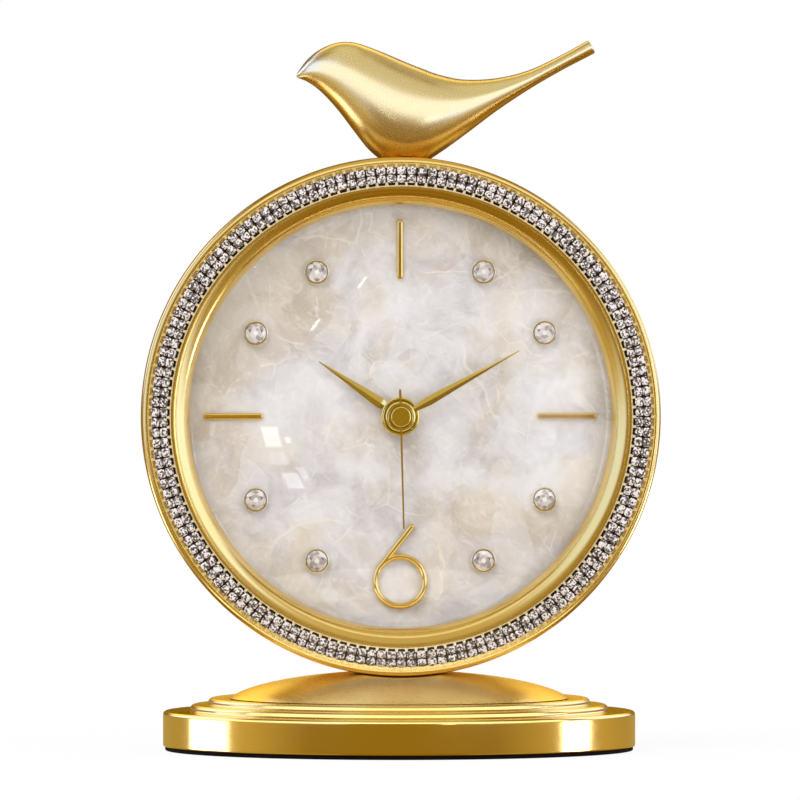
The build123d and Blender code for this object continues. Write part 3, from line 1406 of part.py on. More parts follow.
with BuildPart() as back_screws:
    for spot in range(BACK_SCREW_COUNT):
        place = on_clock(back_screw_circle, 45 + 360 * spot / BACK_SCREW_COUNT)
        round_bar(place, BACK_SCREW_RADIUS, cover_back - BACK_SCREW_LENGTH, cover_back)
        round_bar(place, BACK_SCREW_HEAD_RADIUS, cover_back, cover_back + BACK_SCREW_HEAD_HEIGHT)
save(back_screws, "back_screws")

# Bird: rounded sections lofted along X, cut square at the tail and to the case at the foot
with BuildPart() as bird:
    for along, top, bottom, width in BIRD_STATIONS:
        station = Plane(
            origin=(along, 0, drum_top + (top + bottom) / 2),
            x_dir=(0, 1, 0),
            z_dir=(1, 0, 0),
        )
        with BuildSketch(station):
            Ellipse(width / 2, (top - bottom) / 2)
    loft()
    with BuildSketch(bird_tail_plane):
        Rectangle(BIRD_CUT, BIRD_CUT)
    extrude(amount=BIRD_CUT, mode=Mode.SUBTRACT)
    with BuildSketch(front_plane(CASE_DEPTH)):
        Circle(drum_radius + SADDLE_CLEARANCE)
    extrude(amount=2 * CASE_DEPTH, mode=Mode.SUBTRACT)
    with BuildSketch(front_plane(bezel_back + FREE_CLEARANCE)):
        Circle(CASE_RADIUS + FREE_CLEARANCE)
    extrude(amount=CASE_DEPTH, mode=Mode.SUBTRACT)
    with BuildSketch(Plane.XY.offset(case_axis_height)):
        with Locations((BIRD_FOOT_X, 0)):
            Circle(BIRD_SCREW_RADIUS + THREAD_CLEARANCE)
    extrude(amount=drum_radius + BIRD_SCREW_DEPTH, mode=Mode.SUBTRACT)
save(bird, "bird")

with BuildPart() as bird_washer:
    with BuildSketch(front_plane(fitting_front + BIRD_WASHER_WIDTH)):
        with Locations((BIRD_FOOT_X, drum_inner_radius)):
            Rectangle(BIRD_WASHER_LENGTH, 2 * BIRD_WASHER_HEIGHT)
        Circle(drum_inner_radius - SADDLE_CLEARANCE, mode=Mode.INTERSECT)
    extrude(amount=BIRD_WASHER_WIDTH)
    with BuildSketch(Plane.XY.offset(bird_washer_bottom)):
        with Locations((BIRD_FOOT_X, 0)):
            Circle(BIRD_SCREW_RADIUS + SEAT_CLEARANCE)
    extrude(amount=2 * BIRD_WASHER_HEIGHT, mode=Mode.SUBTRACT)
save(bird_washer, "bird_washer")

with BuildPart() as bird_screw:
    with BuildSketch(Plane.XY.offset(bird_washer_bottom)):
        with Locations((BIRD_FOOT_X, 0)):
            Circle(BIRD_SCREW_HEAD_RADIUS)
    extrude(amount=-BIRD_SCREW_HEAD_HEIGHT)
    with BuildSketch(Plane.XY.offset(bird_washer_bottom)):
        with Locations((BIRD_FOOT_X, 0)):
            Circle(BIRD_SCREW_RADIUS)
    extrude(amount=bird_screw_top - bird_washer_bottom)
save(bird_screw, "bird_screw")
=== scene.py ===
"""Dressed scene of a gold desk clock with a bird on its round case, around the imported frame.

Lengths are metres in the frame's own axes: +Z up, the dial faces -Y. The turned pieces, the
bird, the lens and the stones are rebuilt here as clean meshes that replace their solids, and
two of the hands get a turned bead on their hub. All other solids keep their shape and get a
procedural material.
"""

import json
import math
import random

import bmesh
import bpy
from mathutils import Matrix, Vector

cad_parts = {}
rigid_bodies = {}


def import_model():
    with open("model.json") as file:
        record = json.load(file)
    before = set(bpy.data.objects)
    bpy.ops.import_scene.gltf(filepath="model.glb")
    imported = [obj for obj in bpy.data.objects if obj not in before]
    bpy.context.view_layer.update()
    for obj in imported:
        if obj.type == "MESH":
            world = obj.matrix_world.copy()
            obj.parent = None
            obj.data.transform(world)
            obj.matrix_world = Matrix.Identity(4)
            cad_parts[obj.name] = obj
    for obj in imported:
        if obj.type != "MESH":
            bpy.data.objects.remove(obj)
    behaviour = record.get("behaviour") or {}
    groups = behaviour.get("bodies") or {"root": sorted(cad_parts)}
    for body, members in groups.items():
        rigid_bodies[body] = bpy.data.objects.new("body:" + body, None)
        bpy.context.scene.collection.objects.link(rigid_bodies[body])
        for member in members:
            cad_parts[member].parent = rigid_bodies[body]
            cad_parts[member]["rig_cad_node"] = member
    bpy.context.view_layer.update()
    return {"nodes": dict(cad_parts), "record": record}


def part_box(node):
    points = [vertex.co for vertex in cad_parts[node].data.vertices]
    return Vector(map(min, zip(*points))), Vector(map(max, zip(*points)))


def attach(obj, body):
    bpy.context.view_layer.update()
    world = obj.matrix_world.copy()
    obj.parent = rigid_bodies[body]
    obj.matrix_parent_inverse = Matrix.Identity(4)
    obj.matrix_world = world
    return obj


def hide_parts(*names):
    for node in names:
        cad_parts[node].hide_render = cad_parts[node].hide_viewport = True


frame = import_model()
nodes = frame["nodes"]
scene = bpy.context.scene
scene.view_settings.view_transform = "Standard"

MM = 0.001

# Places read from the frame
bezel_low, bezel_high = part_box("bezel")
drum_low, drum_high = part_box("case_drum")
shell_low, shell_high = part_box("base_shell")
pad_low, pad_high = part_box("base_pad")
stone_low, stone_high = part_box("outer_stones")
crystal_low, crystal_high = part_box("crystals")
AXIS_Z = (bezel_low.z + bezel_high.z) / 2
CASE_RADIUS = (bezel_high.z - bezel_low.z) / 2
DRUM_RADIUS = (drum_high.z - drum_low.z) / 2
BASE_RADIUS = (shell_high.x - shell_low.x) / 2
PAD_RADIUS = (pad_high.x - pad_low.x) / 2
BEZEL_FRONT = bezel_low.y
BEZEL_BACK = drum_low.y
DRUM_TOP = AXIS_Z + DRUM_RADIUS

# Meshes in general
TURNS = 288
JOIN_DISTANCE = 1e-7
SUPPORT_REACH = 0.6 * MM
SMOOTH_LIMIT = math.radians(32)
FACET_LIMIT = math.radians(9)
FACETED = ("hour_hand", "minute_hand", "hour_batons")

# Bezel and drum
RIM_ROUND = 1.8 * MM
BAND_OUTER = CASE_RADIUS - 2.0 * MM
BAND_INNER = BAND_OUTER - 9.3 * MM
BAND_DEPTH = 1.8 * MM
BULLNOSE = 7.3 * MM
VISIBLE_RADIUS = BAND_INNER - BULLNOSE
LENS_FRONT = BEZEL_FRONT + BULLNOSE + 0.7 * MM
LENS_SEAT = VISIBLE_RADIUS + 3.0 * MM
NECK_RADIUS = LENS_SEAT + 6.3 * MM
DIAL_BACK = bezel_high.y - 2.9 * MM
SPIGOT_RADIUS = DRUM_RADIUS - 1.9 * MM
SPIGOT_LENGTH = 1.5 * MM
DRUM_WALL = 1.8 * MM
DRUM_FLANGE = 8.0 * MM
DRUM_EDGE = 1.0 * MM

# Base: slab, two steps and a dome, with a boss for the bolt inside
SADDLE_GAP = 0.05 * MM
BEZEL_GAP = 0.3 * MM
SLAB_TOP = shell_low.z + 13.6 * MM
SLAB_ROUND = 1.4 * MM
SLAB_FOOT_ROUND = 0.6 * MM
STEP_HEIGHT = 2.5 * MM
STEP_ROUND = 1.5 * MM
STEP_COVE = 0.8 * MM
LOWER_STEP = BASE_RADIUS - 10.6 * MM
UPPER_STEP = LOWER_STEP - 6.9 * MM
DOME_RADIUS = UPPER_STEP - 8.0 * MM
DOME_FOOT = SLAB_TOP + 2 * STEP_HEIGHT
DOME_HEIGHT = 10.5 * MM
DOME_CURVE = DOME_RADIUS + 3.2 * MM
DOME_START = math.acos(DOME_RADIUS / DOME_CURVE)
DOME_RISE = DOME_HEIGHT / (1 - math.sin(DOME_START))
DOME_MIDDLE = DOME_FOOT + DOME_HEIGHT - DOME_RISE
DOME_STEPS = 100
CEILING_STEPS = 8
BASE_WALL = 3.0 * MM
BOLT_HOLE = 2.6 * MM
BOSS_RADIUS = 8.0 * MM
BOSS_HEIGHT = 14.0 * MM
PLATE_RECESS = 2.0 * MM
PAD_EDGE = 0.5 * MM

# Lens
LENS_THICKNESS = 2.2 * MM
LENS_SAG = 8.0 * MM
LENS_DOME = VISIBLE_RADIUS - 0.5 * MM
LENS_CURVE = (LENS_DOME**2 + LENS_SAG**2) / (2 * LENS_SAG)
LENS_CLEARANCE = 0.1 * MM
LENS_STEPS = 40

# Beads on the hubs of the hands: inner and outer radius of each
HUB_THICKNESS = 0.8 * MM
BEAD_HEIGHT = 0.4 * MM
BEAD_SEAT = 0.1 * MM
BEAD_STEPS = 12
HOUR_BEAD = (6.0 * MM, 7.4 * MM)
MINUTE_BEAD = (4.2 * MM, 5.7 * MM)

# Stones of the band: two rows in step, each stone between two prongs of either comb
STONES_PER_ROW = 150
OUTER_ROW = (BAND_INNER + BAND_OUTER) / 2 + 1.6 * MM
INNER_ROW = OUTER_ROW - 3.2 * MM
STONE_HALVES = (1.74 * MM, 1.56 * MM)
STONE_FRONT = stone_low.y
STONE_BACK = stone_high.y

# Crystals of the dial
CRYSTAL_HOURS = (1, 2, 4, 5, 7, 8, 10, 11)
HOUR_DEGREES = 30
MARK_CIRCLE = VISIBLE_RADIUS - 17.2 * MM
CRYSTAL_RADIUS = crystal_high.x - MARK_CIRCLE * math.sin(math.radians(2 * HOUR_DEGREES))

# Cut of a stone, ring by ring from back to front: corners, reach, share of its depth, and turn
# in corners. The exponent of its outline makes it round or a cushion.
STONE_RINGS = (
    (8, 0.34, 0.0, 0.0),
    (16, 1.0, 0.38, 0.0),
    (16, 1.0, 0.5, 0.0),
    (8, 0.80, 0.80, 0.5),
    (8, 0.56, 1.0, 0.0),
    (8, 0.24, 1.0, 0.0),
)
STONE_SIDES = 8
STONE_TILT = 0.10
SHADED_SIDES = (1, 6)
ROUND = 2.0
CUSHION = 3.6

# Painted sparkle in the stones: each kind of facet has a chance to be painted lit, a dim range and
# a lit range
SPARKLE = ((0.0, 0.20), (0.80, 1.0))
BAND_PAINTED_SPARKLE = {
    "heart": (0.55, *SPARKLE),
    "table": (0.5, *SPARKLE),
    "star": (0.4, *SPARKLE),
    "shade": (0.4, *SPARKLE),
    "main": (0.52, *SPARKLE),
    "edge": (0.46, *SPARKLE),
    "back": (0.3, *SPARKLE),
}
DIAL_PAINTED_SPARKLE = {
    "heart": (1.0, (0.9, 1.0), (0.9, 1.0)),
    "table": (0.6, (0.30, 0.45), (0.55, 0.75)),
    "star": (0.7, (0.2, 0.4), (0.6, 0.8)),
    "shade": (0.0, (0.0, 0.06), (0.0, 0.06)),
    "main": (0.55, (0.22, 0.42), (0.66, 0.9)),
    "edge": (0.7, (0.25, 0.5), (0.75, 1.0)),
    "back": (0.3, *SPARKLE),
}

# Stations of the bird's solid, in millimetres: X, top and bottom above the drum, and width
BIRD_STATIONS = (
    (-39.5, 32.9, 31.7, 0.8),
    (-37.7, 35.6, 30.9, 5.6),
    (-34.9, 39.0, 29.6, 10.6),
    (-30.3, 42.5, 26.2, 15.8),
    (-24.1, 44.9, 19.6, 20.6),
    (-17.9, 45.1, 11.5, 24.4),
    (-11.7, 43.3, 3.7, 27.2),
    (-5.5, 40.9, -1.0, 28.8),
    (1.5, 37.9, -3.4, 29.4),
    (8.5, 35.1, -1.8, 28.6),
    (16.2, 32.4, 2.8, 26.2),
    (25.5, 30.7, 9.5, 22.2),
    (37.9, 31.3, 18.8, 16.8),
    (50.3, 34.4, 27.0, 12.0),
    (62.7, 40.2, 34.2, 9.0),
    (72.0, 45.3, 39.0, 8.0),
    (78.6, 49.1, 42.6, 7.6),
)
BIRD_TAIL_X = 74.4 * MM
BIRD_TAIL_Z = DRUM_TOP + 43.2 * MM
BIRD_TAIL_RISE = math.radians(29)
BIRD_TAIL_BLEND = 16.0 * MM
BIRD_TAIL_ROUND = 0.5 * MM
# Rounded end of the tail, ring by ring: share of the round's height, and size
BIRD_TAIL_RINGS = ((0.0, 1.0), (0.7, 0.96), (1.0, 0.86))
BIRD_STEPS = 12
BIRD_AROUND = 72
BIRD_SMOOTH_LIMIT = math.radians(40)


# --- Meshes ---


def shares(low, high, steps):
    """Even steps from one value to another, both ends included."""
    return [low + (high - low) * step / steps for step in range(steps + 1)]


def new_object(name, vertices, faces, body="clock"):
    """A mesh object from points and faces, riding on a body of the frame."""
    mesh = bpy.data.meshes.new(name)
    mesh.from_pydata(vertices, [], faces)
    piece = bpy.data.objects.new(name, mesh)
    scene.collection.objects.link(piece)
    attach(piece, body)
    return piece


def clean(piece, join=True):
    """Joins doubled points, where asked, and turns all faces outward."""
    shape = bmesh.new()
    shape.from_mesh(piece.data)
    if join:
        bmesh.ops.remove_doubles(shape, verts=shape.verts, dist=JOIN_DISTANCE)
    bmesh.ops.recalc_face_normals(shape, faces=shape.faces)
    shape.to_mesh(piece.data)
    shape.free()


def smooth(piece, limit=SMOOTH_LIMIT):
    """Shades a piece smooth, apart from edges sharper than the limit."""
    for face in piece.data.polygons:
        face.use_smooth = True
    piece.data.set_sharp_from_angle(angle=limit)


def arc(centre, radius, start, end, steps=8):
    """Points of a round in a profile, from one angle in degrees to another."""
    points = []
    for angle in shares(start, end, steps):
        turn = math.radians(angle)
        points.append((centre[0] + radius * math.cos(turn), centre[1] + radius * math.sin(turn)))
    return points


def supported(profile):
    """A closed profile with extra points near the ends of its long straight runs."""
    points = []
    for here, there in zip(profile, profile[1:] + profile[:1]):
        points.append(here)
        run = math.dist(here, there)
        if run > 4 * SUPPORT_REACH:
            for along in (SUPPORT_REACH / run, 1 - SUPPORT_REACH / run):
                points.append(tuple(a + (b - a) * along for a, b in zip(here, there)))
    return points


def about_case(radius, along, turn):
    """A point about the case axis."""
    return (radius * math.sin(turn), along, AXIS_Z + radius * math.cos(turn))


def about_base(radius, along, turn):
    """A point about the upright axis of the base."""
    return (radius * math.cos(turn), radius * math.sin(turn), along)


def lathe(name, profile, place, body="clock"):
    """Turns a closed profile of (radius, along) points about an axis."""
    count = len(profile)
    vertices = []
    faces = []
    for index in range(TURNS):
        turn = 2 * math.pi * index / TURNS
        vertices += [place(radius, along, turn) for radius, along in profile]
        here, there = index * count, (index + 1) % TURNS * count
        for row in range(count):
            after = (row + 1) % count
            faces.append((here + row, here + after, there + after, there + row))
    piece = new_object(name, vertices, faces, body)
    clean(piece)
    smooth(piece)
    return piece


def dome_height(radius, wall=0.0):
    """Height of the base's dome at a radius, or of its ceiling a wall below."""
    share = min(radius / (DOME_CURVE - wall), 1.0)
    return DOME_MIDDLE + (DOME_RISE - wall) * math.sqrt(1 - share * share)


def clear_of_case(point, side):
    """A point's height, kept under (-1) or on (1) the drum and the wider bezel in front of it."""
    x, y, z = point
    reach = DRUM_RADIUS + SADDLE_GAP
    if y < BEZEL_BACK + BEZEL_GAP:
        reach = CASE_RADIUS + BEZEL_GAP
    if math.hypot(x, z - AXIS_Z) < reach:
        return AXIS_Z + side * math.sqrt(reach * reach - x * x)
    return z


def make_base():
    """Stepped base: slab, two rounded steps and a shallow dome, hollow as its solid is."""
    boss_bottom = DOME_FOOT + DOME_HEIGHT - BOSS_HEIGHT
    cavity = DOME_RADIUS - BASE_WALL
    ceiling = SLAB_TOP - BASE_WALL
    floor = shell_low.z
    recess = BASE_RADIUS - BASE_WALL
    ledge = recess - PLATE_RECESS
    profile = [(BOLT_HOLE, boss_bottom), (BOSS_RADIUS, boss_bottom)]
    for radius in shares(BOSS_RADIUS, cavity, CEILING_STEPS):
        profile.append((radius, dome_height(radius, BASE_WALL)))
    profile += [(cavity, ceiling), (ledge, ceiling), (ledge, floor + PLATE_RECESS)]
    profile += [(recess, floor + PLATE_RECESS), (recess, floor)]
    foot = SLAB_FOOT_ROUND
    profile += arc((BASE_RADIUS - foot, floor + foot), foot, -90, 0, steps=5)
    profile += arc((BASE_RADIUS - SLAB_ROUND, SLAB_TOP - SLAB_ROUND), SLAB_ROUND, 0, 90)
    for reach, low in ((LOWER_STEP, SLAB_TOP), (UPPER_STEP, SLAB_TOP + STEP_HEIGHT)):
        profile += arc((reach + STEP_COVE, low + STEP_COVE), STEP_COVE, -90, -180)
        profile += arc((reach - STEP_ROUND, low + STEP_HEIGHT - STEP_ROUND), STEP_ROUND, 0, 90)
    profile = supported(profile)
    for turn in shares(DOME_START, math.pi / 2, DOME_STEPS):
        radius = max(BOLT_HOLE, DOME_CURVE * math.cos(turn))
        profile.append((radius, dome_height(radius)))
        if radius == BOLT_HOLE:
            break
    piece = lathe("base_turned", profile, about_base)
    for vertex in piece.data.vertices:
        if vertex.co.z > DOME_FOOT:
            vertex.co.z = clear_of_case(vertex.co, -1)
    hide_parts("base_shell")
    return piece


def make_bezel():
    """Bezel: rounded rim, channel for the stones and a bullnose down to the lens."""
    spigot_end = BEZEL_BACK + SPIGOT_LENGTH
    channel = BEZEL_FRONT + BAND_DEPTH
    profile = [(VISIBLE_RADIUS, LENS_FRONT), (LENS_SEAT, LENS_FRONT), (LENS_SEAT, DIAL_BACK)]
    profile += [(NECK_RADIUS, DIAL_BACK), (NECK_RADIUS, spigot_end), (SPIGOT_RADIUS, spigot_end)]
    profile += [(SPIGOT_RADIUS, BEZEL_BACK), (CASE_RADIUS, BEZEL_BACK)]
    profile += arc((CASE_RADIUS - RIM_ROUND, BEZEL_FRONT + RIM_ROUND), RIM_ROUND, 0, -90, steps=10)
    profile += [(BAND_OUTER, BEZEL_FRONT), (BAND_OUTER, channel), (BAND_INNER, channel)]
    profile = supported(profile)
    profile += arc((BAND_INNER, BEZEL_FRONT + BULLNOSE), BULLNOSE, -90, -180, steps=24)
    piece = lathe("bezel_turned", profile, about_case)
    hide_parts("bezel")
    return piece


def make_drum():
    """Drum: a turned wall with a rounded back edge and an inward flange."""
    inner = DRUM_RADIUS - DRUM_WALL
    flange = DRUM_RADIUS - DRUM_FLANGE
    back = drum_high.y
    profile = [(inner, BEZEL_BACK), (DRUM_RADIUS, BEZEL_BACK)]
    profile += arc((DRUM_RADIUS - DRUM_EDGE, back - DRUM_EDGE), DRUM_EDGE, 0, 90, steps=6)
    profile += [(flange, back), (flange, back - DRUM_WALL), (inner, back - DRUM_WALL)]
    piece = lathe("drum_turned", supported(profile), about_case)
    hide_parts("case_drum")
    return piece


def lens_rise(radius):
    """How far the lens bows forward of its rim at a radius."""
    return LENS_SAG - LENS_CURVE + math.sqrt(LENS_CURVE**2 - radius**2)


def make_lens():
    """Domed lens of even thickness, with a flat rim."""
    rim = LENS_SEAT - LENS_CLEARANCE
    back = LENS_FRONT + LENS_THICKNESS
    profile = [(rim, back), (rim, LENS_FRONT)]
    for share in shares(0.0, 1.0, LENS_STEPS):
        radius = LENS_DOME * (1 - share)
        profile.append((radius, LENS_FRONT - lens_rise(radius)))
    for radius in shares(0.0, LENS_DOME, LENS_STEPS):
        profile.append((radius, back - lens_rise(radius)))
    piece = lathe("lens_dome", profile, about_case)
    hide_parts("lens")
    return piece


def make_pad():
    """Felt pad: a thin disc with slightly rounded edges."""
    low, high = pad_low.z, pad_high.z
    profile = [(0.0, low)]
    profile += arc((PAD_RADIUS - PAD_EDGE, low + PAD_EDGE), PAD_EDGE, -90, 0, steps=4)
    profile += arc((PAD_RADIUS - PAD_EDGE, high - PAD_EDGE), PAD_EDGE, 0, 90, steps=4)
    profile.append((0.0, high))
    piece = lathe("pad_felt", supported(profile), about_base)
    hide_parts("base_pad")
    return piece


def make_hub_bead(name, hand, body, inner, outer):
    """A turned bead on the front of a hand's hub, clear of the hand before it."""
    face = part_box(hand)[1].y - HUB_THICKNESS
    middle, half = (inner + outer) / 2, (outer - inner) / 2
    profile = [(inner, face + BEAD_SEAT), (outer, face + BEAD_SEAT)]
    for turn in shares(0.0, math.pi, BEAD_STEPS):
        profile.append((middle + half * math.cos(turn), face - BEAD_HEIGHT * math.sin(turn)))
    return lathe(name, profile, about_case, body)


def between_stations(index, share):
    """Smooth values between two stations of the bird, from its four nearest stations."""
    last = len(BIRD_STATIONS) - 1
    nearest = (BIRD_STATIONS[min(max(index + k, 0), last)] for k in (-1, 0, 1, 2))
    values = []
    for before, start, end, after in zip(*nearest):
        slope_in = (end - before) / 2
        slope_out = (after - start) / 2
        curve = 2 * start - 2 * end + slope_in + slope_out
        bend = 3 * end - 3 * start - 2 * slope_in - slope_out
        values.append(((curve * share + bend) * share + slope_in) * share + start)
    return values


def bird_rings():
    """Sections of the bird along X that lean into the tail's square cut, and its rounded end."""
    normal = Vector((math.cos(BIRD_TAIL_RISE), 0, math.sin(BIRD_TAIL_RISE)))
    tail = Vector((BIRD_TAIL_X, 0, BIRD_TAIL_Z))
    sections = [
        between_stations(index, step / BIRD_STEPS)
        for index in range(len(BIRD_STATIONS) - 1)
        for step in range(BIRD_STEPS)
    ]
    rings = []
    for along, top, bottom, width in sections:
        x = along * MM
        if x > BIRD_TAIL_X:
            break
        share = min(max(1 - (BIRD_TAIL_X - x) / BIRD_TAIL_BLEND, 0.0), 1.0)
        ring = []
        for spot in range(BIRD_AROUND):
            turn = 2 * math.pi * spot / BIRD_AROUND
            height = (top + bottom) / 2 + (top - bottom) / 2 * math.sin(turn)
            point = Vector((x, width / 2 * MM * math.cos(turn), DRUM_TOP + height * MM))
            lag = (point - tail).dot(normal) - (x - BIRD_TAIL_X) / normal.x
            ring.append(point - normal * (lag * share))
        rings.append(ring)
    last = rings[-1]
    for lift, size in BIRD_TAIL_RINGS:
        ring = []
        for point in last:
            past = (point - tail).dot(normal) + BIRD_TAIL_ROUND - BIRD_TAIL_ROUND * lift
            ring.append(point - normal * past)
        middle = sum(ring, Vector()) / len(ring)
        rings.append([middle + (point - middle) * size for point in ring])
    return rings


def make_bird():
    """Bird: smooth rounded sections along X, cut square at the tail, seated on the case."""
    rings = bird_rings()
    vertices = [(point.x, point.y, clear_of_case(point, 1)) for ring in rings for point in ring]
    end = (len(rings) - 1) * BIRD_AROUND
    faces = []
    for here in range(0, end, BIRD_AROUND):
        there = here + BIRD_AROUND
        for spot in range(BIRD_AROUND):
            ahead = (spot + 1) % BIRD_AROUND
            faces.append((here + spot, here + ahead, there + ahead, there + spot))
    faces.append(tuple(range(BIRD_AROUND)))
    faces.append(tuple(range(end, end + BIRD_AROUND)))
    piece = new_object("bird_form", vertices, faces)
    clean(piece)
    smooth(piece, BIRD_SMOOTH_LIMIT)
    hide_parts("bird")
    return piece


def brilliant(centre, halves, square, back, front, spin, tilt):
    """Points, faces and facet kinds of one cut stone that faces -Y, round or cushion shaped."""
    rings = []
    vertices = []
    for count, reach, share, offset in STONE_RINGS:
        along = back - share * (back - front)
        ring = []
        for index in range(count):
            turn = 2 * math.pi * (index + offset) / count
            bulk = abs(math.sin(turn)) ** square + abs(math.cos(turn)) ** square
            full = bulk ** (-1 / square)
            along_row = halves[0] * reach * full * math.sin(turn)
            across = halves[1] * reach * full * math.cos(turn)
            x = along_row * math.cos(spin) + across * math.sin(spin)
            z = across * math.cos(spin) - along_row * math.sin(spin)
            lean = (tilt[0] * x + tilt[1] * z) if along < back else 0.0
            ring.append(len(vertices))
            vertices.append((centre[0] + x, max(along + lean, front), centre[1] + z))
        rings.append(ring)
    point, girdle, edge, kite, table, heart = rings
    corners = len(girdle)
    faces = [tuple(point), tuple(heart)]
    kinds = ["back", "heart"]
    for index in range(STONE_SIDES):
        ahead = (index + 1) % STONE_SIDES
        wide, mid, far = 2 * index, 2 * index + 1, (2 * index + 2) % corners
        faces.append((point[index], girdle[wide], girdle[mid], girdle[far], point[ahead]))
        faces.append((edge[wide], edge[mid], kite[index]))
        faces.append((edge[mid], edge[far], kite[index]))
        faces.append((edge[wide], kite[index], table[index], kite[index - 1]))
        faces.append((table[index], kite[index], table[ahead]))
        faces.append((table[index], table[ahead], heart[ahead], heart[index]))
        star = "shade" if index in SHADED_SIDES else "star"
        kinds += ["back", "edge", "edge", "main", star, "table"]
    for index in range(corners):
        ahead = (index + 1) % corners
        faces.append((girdle[index], girdle[ahead], edge[ahead], edge[index]))
        kinds.append("edge")
    return vertices, faces, kinds


def stone_object(name, stones, node, seed, light):
    """All stones of one kind as one object, each facet with its own painted share of light."""
    chance = random.Random(seed)
    vertices = []
    faces = []
    painted_sparkles = []
    for centre, halves, square, back, front, spin in stones:
        tilt = tuple(chance.uniform(-STONE_TILT, STONE_TILT) for _ in range(2))
        points, sides, kinds = brilliant(centre, halves, square, back, front, spin, tilt)
        faces += [tuple(len(vertices) + corner for corner in side) for side in sides]
        vertices += points
        for kind in kinds:
            share, dim, lit = light[kind]
            painted_sparkles.append(chance.uniform(*(lit if chance.random() < share else dim)))
    piece = new_object(name, vertices, faces)
    clean(piece, join=False)
    painted_sparkle = piece.data.attributes.new("painted_sparkle", "FLOAT", "FACE")
    painted_sparkle.data.foreach_set("value", painted_sparkles)
    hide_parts(node)
    return piece


def row_of_stones(radius):
    """Places of one row of the band."""
    stones = []
    for index in range(STONES_PER_ROW):
        turn = 2 * math.pi * index / STONES_PER_ROW
        centre = (radius * math.sin(turn), AXIS_Z + radius * math.cos(turn))
        stones.append((centre, STONE_HALVES, CUSHION, STONE_BACK, STONE_FRONT, turn))
    return stones


def dial_stones():
    """Places of the eight crystals on the dial."""
    halves = (CRYSTAL_RADIUS, CRYSTAL_RADIUS)
    stones = []
    for hour in CRYSTAL_HOURS:
        turn = math.radians(HOUR_DEGREES * hour)
        centre = (MARK_CIRCLE * math.sin(turn), AXIS_Z + MARK_CIRCLE * math.cos(turn))
        stones.append((centre, halves, ROUND, crystal_high.y, crystal_low.y, 0.0))
    return stones


# --- Materials ---


def colour(red, green, blue):
    """An opaque linear colour."""
    return (red, green, blue, 1.0)


WHITE = colour(1.0, 1.0, 1.0)
GOLD = colour(0.93, 0.70, 0.28)
GOLD_DEEP = colour(0.89, 0.64, 0.20)
PALE_GOLD = colour(0.99, 0.89, 0.63)
PALE_GOLD_DEEP = colour(0.98, 0.86, 0.57)
# Amber of the bird's painted shade on the faces that look down
AMBER_PAINTED_SHADE = colour(0.72, 0.43, 0.07)
HAND_GOLDS = (colour(0.92, 0.77, 0.32), colour(0.82, 0.66, 0.22))
CUP_GOLDS = (colour(0.98, 0.93, 0.80), colour(0.96, 0.88, 0.70))
# Pale cream golds of the prongs, a painted highlight
PAINTED_PRONG_HIGHLIGHTS = (colour(0.96, 0.84, 0.58), colour(0.93, 0.78, 0.48))
# Painted shade of the setting's floor between the stones
SETTING_PAINTED_SHADE = colour(0.06, 0.036, 0.014)
# Dim and lit tints of the stones' painted sparkle, and a rose hue for some lit facets
BAND_TINTS = (colour(0.045, 0.027, 0.016), colour(1.0, 0.90, 0.83))
DIAL_TINTS = (colour(0.17, 0.135, 0.12), colour(0.98, 0.93, 0.91))
ROSE_TINT = colour(0.97, 0.89, 0.90)

# Plain slots: material, two tones, scale of the grain, roughness and relief
BLACK_PLASTICS = ((0.016, 0.016, 0.017), (0.026, 0.026, 0.028))
WHITE_PLASTICS = ((0.74, 0.73, 0.69), (0.66, 0.65, 0.61))
GRAINED = {
    "dial_metal": ("metal_dial", (0.58, 0.56, 0.50), (0.50, 0.48, 0.43), 700, 0.34, 0.05),
    "steel": ("steel_fittings", (0.56, 0.56, 0.57), (0.48, 0.48, 0.50), 900, 0.28, 0.05),
    "felt": ("felt_black", (0.003, 0.002, 0.002), (0.009, 0.007, 0.006), 1600, 0.94, 0.5),
    "black_plastic": ("plastic_black", *BLACK_PLASTICS, 1400, 0.46, 0.12),
    "white_plastic": ("plastic_white", *WHITE_PLASTICS, 1400, 0.42, 0.08),
    "brass": ("brass_turned", (0.82, 0.60, 0.27), (0.72, 0.50, 0.21), 900, 0.22, 0.05),
    "copper_winding": ("copper_wire", (0.72, 0.34, 0.16), (0.58, 0.25, 0.11), 2400, 0.3, 0.4),
    "circuit": ("board_green", (0.012, 0.07, 0.03), (0.02, 0.10, 0.045), 800, 0.42, 0.06),
    "washer_rubber": ("rubber_black", (0.014, 0.014, 0.014), (0.024, 0.024, 0.024), 1500, 0.7, 0.2),
}
# Other shader constants of plain slots
METAL = {"Metallic": 1.0}
GRAINED_CONSTANTS = {
    "dial_metal": METAL,
    "steel": METAL,
    "felt": {"Specular_IOR_Level": 0.1},
    "brass": METAL,
    "copper_winding": METAL,
}

# Where a finish changes along a piece
PRONG_FOOT, PRONG_TOP = 0.1 * MM, 0.7 * MM
COMB_START, COMB_END = 1.3 * MM, 1.5 * MM
COLLAR_START, COLLAR_END = 14.0 * MM, 13.6 * MM
PLATED_END, PLATED_START = 4.0 * MM, 3.8 * MM
SOFTEST_ABOVE = DOME_FOOT + 2.0 * MM
SOFTEST = 0.16


def add(tree, kind, inputs=(), **settings):
    """Adds a shader node. Inputs maps sockets to constants or to the outputs that feed them."""
    node = tree.nodes.new("ShaderNode" + kind)
    for key, value in settings.items():
        setattr(node, key, value)
    for key, value in dict(inputs).items():
        socket = node.inputs[key]
        if isinstance(value, bpy.types.NodeSocket):
            tree.links.new(value, socket)
        else:
            socket.default_value = value
    return node


def calc(tree, operation, *values):
    """A math node's result."""
    return add(tree, "Math", dict(enumerate(values)), operation=operation).outputs[0]


def position(tree):
    """The shaded point."""
    return add(tree, "NewGeometry").outputs["Position"]


